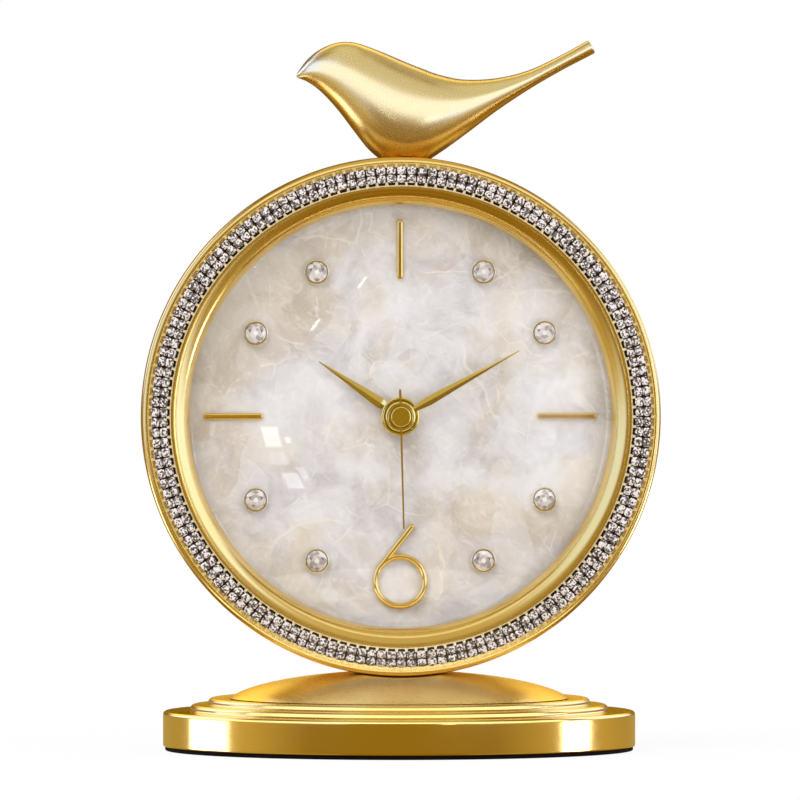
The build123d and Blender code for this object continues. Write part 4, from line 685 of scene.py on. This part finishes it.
def parts_of(tree, vector):
    """The X, Y and Z of a vector."""
    return add(tree, "SeparateXYZ", {0: vector}).outputs


def squared(tree, across, up):
    """The square of a distance from its two parts."""
    return calc(tree, "ADD", calc(tree, "POWER", across, 2.0), calc(tree, "POWER", up, 2.0))


def noise(tree, scale, detail=4.0, vector=None, distortion=0.0, roughness=0.5):
    """A noise texture's value."""
    inputs = {"Scale": scale, "Detail": detail, "Distortion": distortion, "Roughness": roughness}
    inputs["Vector"] = position(tree) if vector is None else vector
    return add(tree, "TexNoise", inputs).outputs["Fac"]


def span(tree, value, low, high, out_low=0.0, out_high=1.0):
    """A value's stretch from low to high, mapped to another stretch and clamped."""
    inputs = {"Value": value, 1: low, 2: high, 3: out_low, 4: out_high}
    return add(tree, "MapRange", inputs).outputs[0]


def blend(tree, share, first, second):
    """A mix of two colours."""
    inputs = {"Factor": share, 6: first, 7: second}
    return add(tree, "Mix", inputs, data_type="RGBA").outputs[2]


def material(name, **constants):
    """A new principled material, its plain values set on the shader's own sockets."""
    made = bpy.data.materials.new(name)
    made.use_nodes = True
    shader = made.node_tree.nodes["Principled BSDF"]
    for key, value in constants.items():
        shader.inputs[key.replace("_", " ")].default_value = value
    return made, made.node_tree, shader


def feed(shader, **links):
    """Joins node outputs to the shader's sockets."""
    for key, value in links.items():
        shader.id_data.links.new(value, shader.inputs[key.replace("_", " ")])


def bump(tree, height, strength, distance):
    """A bump normal from a height."""
    inputs = {"Height": height, "Strength": strength, "Distance": distance}
    return add(tree, "Bump", inputs).outputs["Normal"]


def turned_grain(tree, axis, centre_z=0.0):
    """Coordinates whose noise runs in fine rings about an axis, as a lathe leaves them."""
    x, y, z = parts_of(tree, position(tree))
    if axis == "Y":
        across, up, along = x, calc(tree, "SUBTRACT", z, centre_z), y
    else:
        across, up, along = x, y, z
    radius = calc(tree, "SQRT", squared(tree, across, up))
    angle = calc(tree, "ARCTAN2", across, up)
    slow = calc(tree, "MULTIPLY", calc(tree, "SINE", angle), 0.004)
    slower = calc(tree, "MULTIPLY", calc(tree, "COSINE", angle), 0.004)
    inputs = {0: calc(tree, "ADD", radius, slow), 1: calc(tree, "ADD", along, slower), 2: slow}
    return add(tree, "CombineXYZ", inputs).outputs[0]


def drift(tree, cloud, grain):
    """A share for two tones: mostly slow clouds, with some fine grain."""
    tone = calc(tree, "ADD", calc(tree, "MULTIPLY", cloud, 0.7), calc(tree, "MULTIPLY", grain, 0.3))
    return span(tree, tone, 0.35, 0.65)


def satin_gold(name, grain_axis, centre_z=0.0, roughness=0.22, softer_above=None):
    """Satin gold plate: fine brushing, a slow drift of tone and faint handling marks."""
    made, tree, shader = material(name, Metallic=1.0, Anisotropic=0.4)
    cloud = noise(tree, 14.0, 3.0)
    grain = noise(tree, 5200.0, 2.0, turned_grain(tree, grain_axis, centre_z))
    tangent = add(tree, "Tangent", direction_type="RADIAL", axis=grain_axis)
    brushed = span(tree, grain, 0.3, 0.7, -0.035, 0.035)
    handled = span(tree, cloud, 0.3, 0.7, roughness - 0.02, roughness + 0.02)
    rough = calc(tree, "ADD", brushed, handled)
    if softer_above is not None:
        height = parts_of(tree, position(tree))[2]
        softer = span(tree, height, softer_above, SOFTEST_ABOVE, 0.0, SOFTEST)
        rough = calc(tree, "ADD", rough, softer)
    feed(
        shader,
        Base_Color=blend(tree, drift(tree, cloud, grain), GOLD, GOLD_DEEP),
        Roughness=rough,
        Tangent=tangent.outputs[0],
        Normal=bump(tree, grain, 0.02, 0.00002),
    )
    return made


def bird_gold(name):
    """Pale satin gold with painted shade: it deepens to amber where it faces down."""
    made, tree, shader = material(name, Metallic=0.94)
    upward = parts_of(tree, add(tree, "NewGeometry").outputs["Normal"])[2]
    cloud = noise(tree, 14.0, 3.0)
    grain = noise(tree, 2600.0, 2.0)
    pale = blend(tree, drift(tree, cloud, grain), PALE_GOLD, PALE_GOLD_DEEP)
    # Painted shade: faces that look down blend from pale gold to amber
    feed(
        shader,
        Base_Color=blend(tree, span(tree, upward, -0.05, -0.55), pale, AMBER_PAINTED_SHADE),
        Roughness=span(tree, grain, 0.3, 0.7, 0.24, 0.29),
        Normal=bump(tree, grain, 0.02, 0.00002),
    )
    return made


def polished_gold(name, roughness=0.08, tones=(GOLD, GOLD_DEEP)):
    """Polished gold plate with faint waves and fine wear."""
    made, tree, shader = material(name, Metallic=1.0)
    wave = noise(tree, 160.0, 3.0)
    wear = noise(tree, 1800.0, 3.0)
    feed(
        shader,
        Base_Color=blend(tree, wave, *tones),
        Roughness=span(tree, wear, 0.35, 0.7, roughness - 0.03, roughness + 0.06),
        Normal=bump(tree, wave, 0.04, 0.0001),
    )
    return made


def setting_gold(name):
    """Pale gold prongs with a painted highlight, over a floor painted dark with shade between the
    stones and gold outside them.
    """
    made, tree, shader = material(name)
    x, y, z = parts_of(tree, position(tree))
    raised = span(tree, y, STONE_BACK - PRONG_FOOT, STONE_BACK - PRONG_TOP)
    radius = calc(tree, "SQRT", squared(tree, x, calc(tree, "SUBTRACT", z, AXIS_Z)))
    outside = span(tree, radius, OUTER_ROW + COMB_START, OUTER_ROW + COMB_END)
    wear = noise(tree, 900.0, 3.0)
    # Painted shade: the floor between the stones is dark, gold outside them
    ground = blend(tree, outside, SETTING_PAINTED_SHADE, GOLD)
    # Painted highlight: prongs get pale cream golds and less metal, so the lamps light them
    # brightly
    prongs = blend(tree, outside, blend(tree, wear, *PAINTED_PRONG_HIGHLIGHTS), GOLD)
    feed(
        shader,
        Base_Color=blend(tree, raised, ground, prongs),
        Metallic=span(tree, raised, 0.0, 1.0, 0.9, 0.45),
        Roughness=span(tree, wear, 0.3, 0.7, 0.2, 0.34),
    )
    return made


def cut_crystal(name, tint_low, tint_high):
    """Foiled cut stone with painted sparkle: each facet's colour is painted dim or lit by its own
    share of light.
    """
    made, tree, shader = material(
        name, Metallic=0.05, Roughness=0.12, Coat_Weight=0.5, Coat_Roughness=0.03
    )
    painted_sparkle = add(tree, "Attribute", attribute_name="painted_sparkle").outputs["Fac"]
    hue = span(tree, noise(tree, 700.0, 1.0), 0.4, 0.6)
    bright = blend(tree, hue, tint_high, ROSE_TINT)
    feed(shader, Base_Color=blend(tree, painted_sparkle, tint_low, bright))
    return made


def lens_glass(name):
    """Clear lens with the faintest polish marks."""
    made, tree, shader = material(
        name, Base_Color=WHITE, Transmission_Weight=1.0, IOR=1.33, Roughness=0.0
    )
    feed(shader, Normal=bump(tree, noise(tree, 30.0, 1.0), 0.004, 0.0001))
    return made


def stretched(tree, place, turn, along):
    """Coordinates turned in the dial's plane and drawn out along one direction."""
    inputs = {"Vector": place, "Rotation": (0.0, turn, 0.0), "Scale": (1 / along, 1.0, 1.0)}
    return add(tree, "Mapping", inputs, vector_type="TEXTURE").outputs[0]


def flecks(tree, place, turn, scale, chance):
    """Short thin streaks at random places, all in one direction."""
    drawn = stretched(tree, place, turn, 0.16)
    cell = add(tree, "TexVoronoi", {"Vector": drawn, "Scale": scale}).outputs
    draw = add(tree, "SeparateColor", {0: cell["Color"]}).outputs[1]
    kept = span(tree, draw, 1 - chance, 1 - chance + 0.01)
    return calc(tree, "MULTIPLY", span(tree, cell["Distance"], 0.02, 0.05, 1.0, 0.0), kept)


def leaf_lines(tree, place, scale, width):
    """Thin lines along the borders of random leaves, broken here and there."""
    inputs = {"Vector": place, "Scale": scale}
    border = add(tree, "TexVoronoi", inputs, feature="DISTANCE_TO_EDGE").outputs["Distance"]
    line = span(tree, border, 0.0, width * scale, 1.0, 0.0)
    return calc(tree, "MULTIPLY", line, span(tree, noise(tree, 2.2 * scale, 3.0), 0.5, 0.62))


def shell_clouds(tree, place, bent, cloud):
    """Slow lilac and beige clouds of the shell, with painted shade: warmer and darker beige outward
    and upward, toward the rim and the top that the bezel shades.
    """
    x, _, z = parts_of(tree, place)
    height = calc(tree, "SUBTRACT", z, AXIS_Z)
    mist = noise(tree, 26.0, 5.0, bent, 0.3, 0.6)
    # Painted shade of the bezel: the shell turns warmer and darker toward the rim and the top
    outward = span(tree, squared(tree, x, height), 0.0, VISIBLE_RADIUS**2, -0.06, 0.10)
    upward = span(tree, height, -VISIBLE_RADIUS, VISIBLE_RADIUS, -0.03, 0.07)
    warmth_and_painted_shade = calc(tree, "ADD", calc(tree, "ADD", mist, outward), upward)
    lilacs = (colour(0.57, 0.53, 0.545), colour(0.83, 0.80, 0.82))
    beiges = (colour(0.56, 0.47, 0.385), colour(0.78, 0.70, 0.61))
    lilac = blend(tree, span(tree, cloud, 0.34, 0.64), *lilacs)
    beige = blend(tree, span(tree, cloud, 0.34, 0.66), *beiges)
    return blend(tree, span(tree, warmth_and_painted_shade, 0.44, 0.62), lilac, beige)


def pearl_shell(name):
    """Mother of pearl in pressed leaves: clouds, chips, fibres, thin lines and bright streaks."""
    made, tree, shader = material(
        name, Coat_Weight=0.2, Coat_Roughness=0.12, Specular_IOR_Level=0.35
    )
    place = position(tree)
    sway = add(tree, "TexNoise", {"Vector": place, "Scale": 26.0, "Detail": 3.0}).outputs["Color"]
    inputs = {0: sway, 1: (0.022, 0.022, 0.022)}
    warp = add(tree, "VectorMath", inputs, operation="MULTIPLY").outputs[0]
    bent = add(tree, "VectorMath", {0: place, 1: warp}).outputs[0]
    cloud = noise(tree, 48.0, 6.0, bent, 0.4, 0.62)
    fibre = noise(tree, 300.0, 6.0, stretched(tree, bent, 0.6, 0.75), 1.2, 0.68)
    chips = add(tree, "TexVoronoi", {"Vector": bent, "Scale": 85.0}).outputs["Color"]
    chip = add(tree, "SeparateColor", {0: chips}).outputs[0]
    wide_lines = leaf_lines(tree, bent, 17.0, 0.0005)
    lines = calc(tree, "MAXIMUM", wide_lines, leaf_lines(tree, bent, 46.0, 0.0003))
    streaks = flecks(tree, bent, 0.9, 60.0, 0.22)
    streaks = calc(tree, "MAXIMUM", streaks, flecks(tree, bent, -0.6, 75.0, 0.16))
    body = shell_clouds(tree, place, bent, cloud)
    layers = (
        (span(tree, chip, 0.35, 1.0, 0.0, 0.34), colour(0.90, 0.87, 0.86)),
        (span(tree, fibre, 0.50, 0.72, 0.0, 0.40), colour(0.95, 0.93, 0.91)),
        (span(tree, fibre, 0.44, 0.26, 0.0, 0.14), colour(0.48, 0.43, 0.40)),
        (calc(tree, "MULTIPLY", lines, 0.6), colour(0.94, 0.88, 0.77)),
        (calc(tree, "MULTIPLY", streaks, 0.8), colour(0.98, 0.96, 0.93)),
    )
    for share, tone in layers:
        body = blend(tree, share, body, tone)
    feed(
        shader,
        Base_Color=body,
        Roughness=span(tree, cloud, 0.3, 0.7, 0.36, 0.24),
        Normal=bump(tree, calc(tree, "ADD", fibre, cloud), 0.05, 0.0003),
    )
    return made


def grained(name, first, second, scale, roughness, relief, **constants):
    """A plain material with a fine two-tone grain, varied roughness and relief."""
    made, tree, shader = material(name, **constants)
    grain = noise(tree, scale, 5.0)
    broad = noise(tree, scale / 18, 3.0)
    share = calc(tree, "MULTIPLY", calc(tree, "ADD", grain, broad), 0.5)
    feed(
        shader,
        Base_Color=blend(tree, span(tree, share, 0.35, 0.65), colour(*first), colour(*second)),
        Roughness=span(tree, grain, 0.3, 0.7, roughness - 0.06, roughness + 0.06),
        Normal=bump(tree, grain, relief, 0.0002),
    )
    return made


def battery_jacket(name):
    """Plain two-tone battery wrap: a dark body with a coppery collar at its positive end."""
    made, tree, shader = material(name, Metallic=0.6)
    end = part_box("battery")[1].x
    along = parts_of(tree, position(tree))[0]
    collar = span(tree, along, end - COLLAR_START, end - COLLAR_END)
    speck = noise(tree, 900.0, 3.0)
    dark = blend(tree, speck, colour(0.018, 0.018, 0.02), colour(0.03, 0.03, 0.032))
    copper = blend(tree, speck, colour(0.60, 0.30, 0.14), colour(0.70, 0.38, 0.20))
    feed(
        shader,
        Base_Color=blend(tree, collar, dark, copper),
        Roughness=span(tree, speck, 0.3, 0.7, 0.22, 0.34),
    )
    return made


def tipped_plastic(name, tip):
    """White plastic whose arbor is plated gold as far as the tip shows."""
    made, tree, shader = material(name)
    depth = parts_of(tree, position(tree))[1]
    plated = span(tree, depth, tip + PLATED_END, tip + PLATED_START)
    grain = noise(tree, 1400.0, 5.0)
    plastic = blend(tree, grain, *(colour(*tone) for tone in WHITE_PLASTICS))
    gold = blend(tree, grain, GOLD, GOLD_DEEP)
    feed(
        shader,
        Base_Color=blend(tree, plated, plastic, gold),
        Metallic=plated,
        Roughness=span(tree, plated, 0.0, 1.0, 0.42, 0.12),
    )
    return made


def make_materials():
    """One material for each slot of the record."""
    plain = {
        slot: grained(*finish, **GRAINED_CONSTANTS.get(slot, {}))
        for slot, finish in GRAINED.items()
    }
    return {
        "satin_gold": bird_gold("gold_satin"),
        "polished_gold": polished_gold("gold_polished"),
        "back_gold": satin_gold("gold_back", "Y", AXIS_Z, roughness=0.34),
        "cut_crystal": cut_crystal("crystal_dial", *DIAL_TINTS),
        "lens_glass": lens_glass("glass_lens"),
        "pearl_shell": pearl_shell("pearl_leaves"),
        "battery_jacket": battery_jacket("battery_wrap"),
        **plain,
    }


def dress(piece, made):
    """Gives a piece one material."""
    piece.data.materials.clear()
    piece.data.materials.append(made)


def node_slots():
    """The record's material slot of each node."""
    return {entry["node"]: entry["material_slot"] for entry in frame["record"]["subparts"]}


# --- Scene ---

CAMERA_DISTANCE = 10.0
CAMERA_SIDE = math.radians(-3.0)
CAMERA_RISE = math.radians(1.7)
AIM = Vector((-0.6 * MM, BEZEL_FRONT, 135.5 * MM))
FIELD = 307.7 * MM
SENSOR = 36.0
CLIP_START, CLIP_END = 0.05, 100

FLOOR_REACH = 12.0
FLOOR_WHITE_NEAR = 0.90
WORLD_LIGHT = 0.45

STUDIO_RADIUS = 4.0
STUDIO_MIDDLE = Vector((0, 0, AXIS_Z))
PANE_NEARER = 0.3
CARD_STEPS = 24
RING_LEVELS = 8
# Ring cards: radius round the object, or round the bird or the base alone, and lowest edge
WALL_RING = 0.40
SHOULDER_RING = 0.395
HIGHLIGHT_RING = 0.39
FAR_RING = 0.38
BIRD_RING = 0.14
STEP_RING = 0.115
RING_FOOT = -0.10


def make_camera():
    """The photograph's view: a long lens from the front, slightly left and slightly above."""
    data = bpy.data.cameras.new("camera")
    camera = bpy.data.objects.new("camera", data)
    scene.collection.objects.link(camera)
    camera.location = (
        AIM.x + CAMERA_DISTANCE * math.sin(CAMERA_SIDE) * math.cos(CAMERA_RISE),
        AIM.y - CAMERA_DISTANCE * math.cos(CAMERA_SIDE) * math.cos(CAMERA_RISE),
        AIM.z + CAMERA_DISTANCE * math.sin(CAMERA_RISE),
    )
    camera.rotation_euler = (AIM - camera.location).to_track_quat("-Z", "Y").to_euler()
    data.sensor_fit = "HORIZONTAL"
    data.sensor_width = SENSOR
    data.lens = SENSOR * (AIM - camera.location).length / FIELD
    data.clip_start = CLIP_START
    data.clip_end = CLIP_END
    scene.camera = camera


def camera_share(tree):
    """One where the background is seen, straight or in metal and glass, and zero elsewhere."""
    path = add(tree, "LightPath").outputs
    seen = calc(tree, "MAXIMUM", path["Is Camera Ray"], path["Is Glossy Ray"])
    return calc(tree, "MAXIMUM", seen, path["Is Transmission Ray"])


def stage_object(name, vertices, faces):
    """A mesh object that isn't part of the clock."""
    mesh = bpy.data.meshes.new(name)
    mesh.from_pydata(vertices, [], faces)
    sheet = bpy.data.objects.new(name, mesh)
    scene.collection.objects.link(sheet)
    return sheet


def glow_over(tree, share, under, tone, strength):
    """Shows a glow over another shader by a share, as the material's surface."""
    glow = add(tree, "Emission", {"Color": tone, "Strength": strength}).outputs[0]
    mixed = add(tree, "MixShader", {0: share, 1: under, 2: glow}).outputs[0]
    tree.links.new(mixed, tree.nodes["Material Output"].inputs[0])


def make_floor():
    """A pale floor that is white in view and keeps the shadow."""
    corners = [(-1, -1), (1, -1), (1, 1), (-1, 1)]
    points = [(FLOOR_REACH * x, FLOOR_REACH * y, 0) for x, y in corners]
    floor = stage_object("floor", points, [(0, 1, 2, 3)])
    floor.visible_glossy = False
    floor.visible_transmission = False
    made, tree, shader = material(
        "floor_pale", Base_Color=colour(0.86, 0.86, 0.86), Roughness=0.9, Specular_IOR_Level=0.0
    )
    away = add(tree, "VectorMath", {0: position(tree)}, operation="LENGTH").outputs["Value"]
    white = span(tree, away, BASE_RADIUS, 3 * BASE_RADIUS, FLOOR_WHITE_NEAR, 1.0)
    share = calc(tree, "MULTIPLY", camera_share(tree), white)
    glow_over(tree, share, shader.outputs[0], WHITE, 1.0)
    floor.data.materials.append(made)


def make_world():
    """White in view, softer as a lamp."""
    world = bpy.data.worlds.new("world")
    scene.world = world
    world.use_nodes = True
    tree = world.node_tree
    strength = span(tree, camera_share(tree), 0.0, 1.0, WORLD_LIGHT, 1.0)
    shade = tree.nodes["Background"]
    shade.inputs[0].default_value = WHITE
    tree.links.new(strength, shade.inputs[1])


def from_studio(side, height, radius):
    """A point of the studio: degrees right of the dial's direction and above the horizon."""
    turn, rise = math.radians(side), math.radians(height)
    level = math.cos(rise)
    direction = (math.sin(turn) * level, -math.cos(turn) * level, math.sin(rise))
    return STUDIO_MIDDLE + radius * Vector(direction)


def on_ring(side, radius, level):
    """A point round the base's axis: degrees right of the dial's direction, and a height."""
    turn = math.radians(side)
    return Vector((radius * math.sin(turn), -radius * math.cos(turn), level))


def card(name, rows, tone, strength, soft):
    """A studio card from rows of points. It glows and fades at its edges, for reflections only."""
    tall, wide = len(rows), len(rows[0])
    faces = []
    for row in range(tall - 1):
        for column in range(wide - 1):
            corner = row * wide + column
            faces.append((corner, corner + 1, corner + wide + 1, corner + wide))
    sheet = stage_object(name, [point for row in rows for point in row], faces)
    insets = [
        min(up, 1 - up, across, 1 - across)
        for up in shares(0.0, 1.0, tall - 1)
        for across in shares(0.0, 1.0, wide - 1)
    ]
    fade = [min(inset / soft, 1.0) if soft else 1.0 for inset in insets]
    sheet.data.attributes.new("fade", "FLOAT", "POINT").data.foreach_set("value", fade)
    made = bpy.data.materials.new(name)
    made.use_nodes = True
    tree = made.node_tree
    tree.nodes.remove(tree.nodes["Principled BSDF"])
    share = add(tree, "Attribute", attribute_name="fade").outputs["Fac"]
    glow_over(tree, share, add(tree, "BsdfTransparent").outputs[0], tone, strength)
    sheet.data.materials.append(made)
    sheet.visible_camera = False
    sheet.visible_diffuse = False
    sheet.visible_shadow = False


def panel(name, sides, heights, tone, strength=1.0, nearer=0.1, soft=0.12, lean=0.0):
    """A curved upright card round the object. Lean slants its sides."""
    radius = STUDIO_RADIUS - nearer
    rows = []
    for height in shares(*heights, CARD_STEPS):
        slant = lean * (height - heights[0])
        turns = shares(*sides, CARD_STEPS)
        rows.append([from_studio(side + slant, height, radius) for side in turns])
    card(name, rows, tone, strength, soft)


def ring_card(name, sides, radius, levels, tone, strength=1.0, soft=0.0):
    """An upright card on part of a ring round the object, near enough to serve one piece."""
    rows = []
    for level in shares(*levels, RING_LEVELS):
        rows.append([on_ring(side, radius, level) for side in shares(*sides, CARD_STEPS)])
    card(name, rows, tone, strength, soft)


def make_studio():
    """Cards that the gold and the lens mirror: dark in front and below, bright at the sides."""
    warm = colour(0.60, 0.50, 0.22)
    cool = colour(0.55, 0.66, 1.0)
    panel("tent", (-180, 180), (-90, 90), colour(0.25, 0.128, 0.0), nearer=0.0, soft=0.0)
    panel("top_box", (-180, 180), (70, 90), colour(0.62, 0.52, 0.25), soft=0.0)
    panel("upper_front", (-80, 78), (13, 78), colour(0.58, 0.49, 0.25), nearer=0.07)
    panel("upper_back", (95, 265), (38, 78), colour(0.40, 0.29, 0.06), nearer=0.05)
    panel("front_dark", (-34, 30), (-16, 30), colour(0.33, 0.22, 0.03), nearer=0.05)
    panel("left_box", (-90, -24), (-12, 46), cool, 1.6, nearer=0.12)
    panel("left_low", (-104, -30), (-42, -2), warm, nearer=0.08)
    panel("right_box", (26, 94), (-16, 38), cool, 2.2, nearer=0.12)
    panel("right_low", (28, 92), (-40, -4), warm, nearer=0.08)
    panel("back_left", (-158, -100), (1, 46), cool, 2.3, nearer=0.06)
    panel("back_right", (100, 158), (1, 46), cool, 2.3, nearer=0.06)
    panel("back_glow", (146, 214), (10, 52), colour(0.95, 0.66, 0.14), 1.7, soft=0.1)


def make_panes():
    """Bright panes that the lens mirrors: a window on the right, panes and glints on the left."""
    tone = colour(0.94, 0.98, 1.0)
    panes = (
        ("window_right", (17, 25.5), (-13, 9), 3.2, 0.25, 0.0),
        ("pane_left_1", (-12.6, -10.5), (-5.3, -2.7), 6.0, 0.12, -0.25),
        ("pane_left_2", (-10.2, -9.5), (-4.8, -3.9), 5.0, 0.2, -0.25),
        ("pane_left_3", (-11.8, -9.5), (-7.3, -5.5), 2.0, 0.2, -0.5),
        ("pane_left_4", (-10.0, -7.9), (-10.0, -8.0), 6.0, 0.12, -0.5),
        ("pane_left_5", (-8.2, -7.2), (-9.1, -7.3), 4.0, 0.2, -0.6),
        ("glint_1", (-2.2, -1.8), (12.9, 14.4), 14.0, 0.3, 0.7),
        ("glint_2", (-7.7, -7.2), (8.0, 9.6), 14.0, 0.3, 0.7),
    )
    for name, sides, heights, strength, soft, lean in panes:
        panel(name, sides, heights, tone, strength, PANE_NEARER, soft, lean)


def make_ring_cards():
    """Near cards: round the bird, before the steps, and low ones that the slab's wall mirrors."""
    cream = colour(0.97, 0.95, 0.90)
    brown = colour(0.14, 0.07, 0.0)
    tan = colour(0.66, 0.50, 0.17)
    pale = colour(0.72, 0.8, 1.0)
    shoulder, highlight = (RING_FOOT, 0.10), (RING_FOOT, 0.03)
    ring_card("bird_card", (-66, 66), BIRD_RING, (0.232, 0.345), cream, 1.15, 0.12)
    ring_card("bird_far", (118, 242), BIRD_RING, (0.24, 0.36), colour(0.13, 0.07, 0.01))
    ring_card("step_card", (-66, 54), STEP_RING, (0.0175, 0.037), colour(1.0, 0.96, 0.84), 1.9)
    ring_card("wall_front", (-83, 84), WALL_RING, (RING_FOOT, 0.022), colour(0.31, 0.20, 0.02))
    ring_card("shoulder_left", (-124, -42), SHOULDER_RING, shoulder, tan, soft=0.5)
    ring_card("shoulder_right", (40, 126), SHOULDER_RING, shoulder, tan, soft=0.5)
    ring_card("wall_left", (-116, -85), HIGHLIGHT_RING, highlight, pale, 4.6, 0.06)
    ring_card("wall_right", (75, 93.5), HIGHLIGHT_RING, highlight, pale, 8.0, 0.06)
    ring_card("wall_far", (166, 194), FAR_RING, (RING_FOOT, 0.05), brown, soft=0.1)
    ring_card("wall_back", (100, 256), WALL_RING, (RING_FOOT, 0.016), colour(0.48, 0.35, 0.10))


def lamp(name, place, size, power):
    """A soft square lamp on the clock that lights without showing in reflections."""
    data = bpy.data.lights.new(name, "AREA")
    data.shape = "RECTANGLE"
    data.size = data.size_y = size
    data.energy = power
    light = bpy.data.objects.new(name, data)
    scene.collection.objects.link(light)
    light.location = place
    light.rotation_euler = (STUDIO_MIDDLE - Vector(place)).to_track_quat("-Z", "Y").to_euler()
    light.visible_glossy = False
    light.visible_transmission = False


def make_lamps():
    """Key from the upper left front, fill from the right, and a wide top."""
    lamp("key", (-0.9, -1.2, 1.9), size=1.2, power=27)
    lamp("fill", (1.6, -1.6, 0.8), size=1.4, power=13)
    lamp("top", (0.0, 0.2, 2.2), size=2.0, power=16)


def make_forms(slots):
    """The base, the case, the bird, the pad and the lens."""
    turned_case = satin_gold("gold_case", "Y", AXIS_Z)
    turned_base = satin_gold("gold_base", "Z", roughness=0.13, softer_above=SLAB_TOP)
    dress(make_base(), turned_base)
    dress(make_bezel(), turned_case)
    dress(make_drum(), turned_case)
    dress(make_bird(), slots["satin_gold"])
    dress(make_pad(), slots["felt"])
    lens = make_lens()
    dress(lens, slots["lens_glass"])
    lens.visible_shadow = False
    lens.visible_diffuse = False


def make_stones(slots):
    """Both rows of the band and the crystals of the dial."""
    band = cut_crystal("crystal_band", *BAND_TINTS)
    sets = (
        ("stones_outer", row_of_stones(OUTER_ROW), "outer_stones", 11, BAND_PAINTED_SPARKLE, band),
        ("stones_inner", row_of_stones(INNER_ROW), "inner_stones", 12, BAND_PAINTED_SPARKLE, band),
        ("crystals_dial", dial_stones(), "crystals", 13, DIAL_PAINTED_SPARKLE, slots["cut_crystal"]),
    )
    for name, stones, node, seed, light, made in sets:
        dress(stone_object(name, stones, node, seed, light), made)


def finish_nodes(slots):
    """The beads of the hands, and a finish for each solid, some with their own."""
    hands = polished_gold("gold_hands", roughness=0.05, tones=HAND_GOLDS)
    hour_bead = make_hub_bead("hour_bead", "hour_hand", "hour", *HOUR_BEAD)
    minute_bead = make_hub_bead("minute_bead", "minute_hand", "minute", *MINUTE_BEAD)
    dress(hour_bead, hands)
    dress(minute_bead, hands)
    own_finish = {
        "hour_hand": hands,
        "minute_hand": hands,
        "second_hand": hands,
        "stone_setting": setting_gold("gold_setting"),
        "second_wheel": tipped_plastic("plastic_tipped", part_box("second_wheel")[0].y),
        "crystal_cups": polished_gold("gold_cups", roughness=0.05, tones=CUP_GOLDS),
    }
    for node, slot in node_slots().items():
        piece = nodes[node]
        dress(piece, own_finish.get(node, slots[slot]))
        smooth(piece, FACET_LIMIT if node in FACETED else SMOOTH_LIMIT)


make_camera()
slot_materials = make_materials()
make_forms(slot_materials)
make_stones(slot_materials)
finish_nodes(slot_materials)
make_floor()
make_world()
make_studio()
make_panes()
make_ring_cards()
make_lamps()
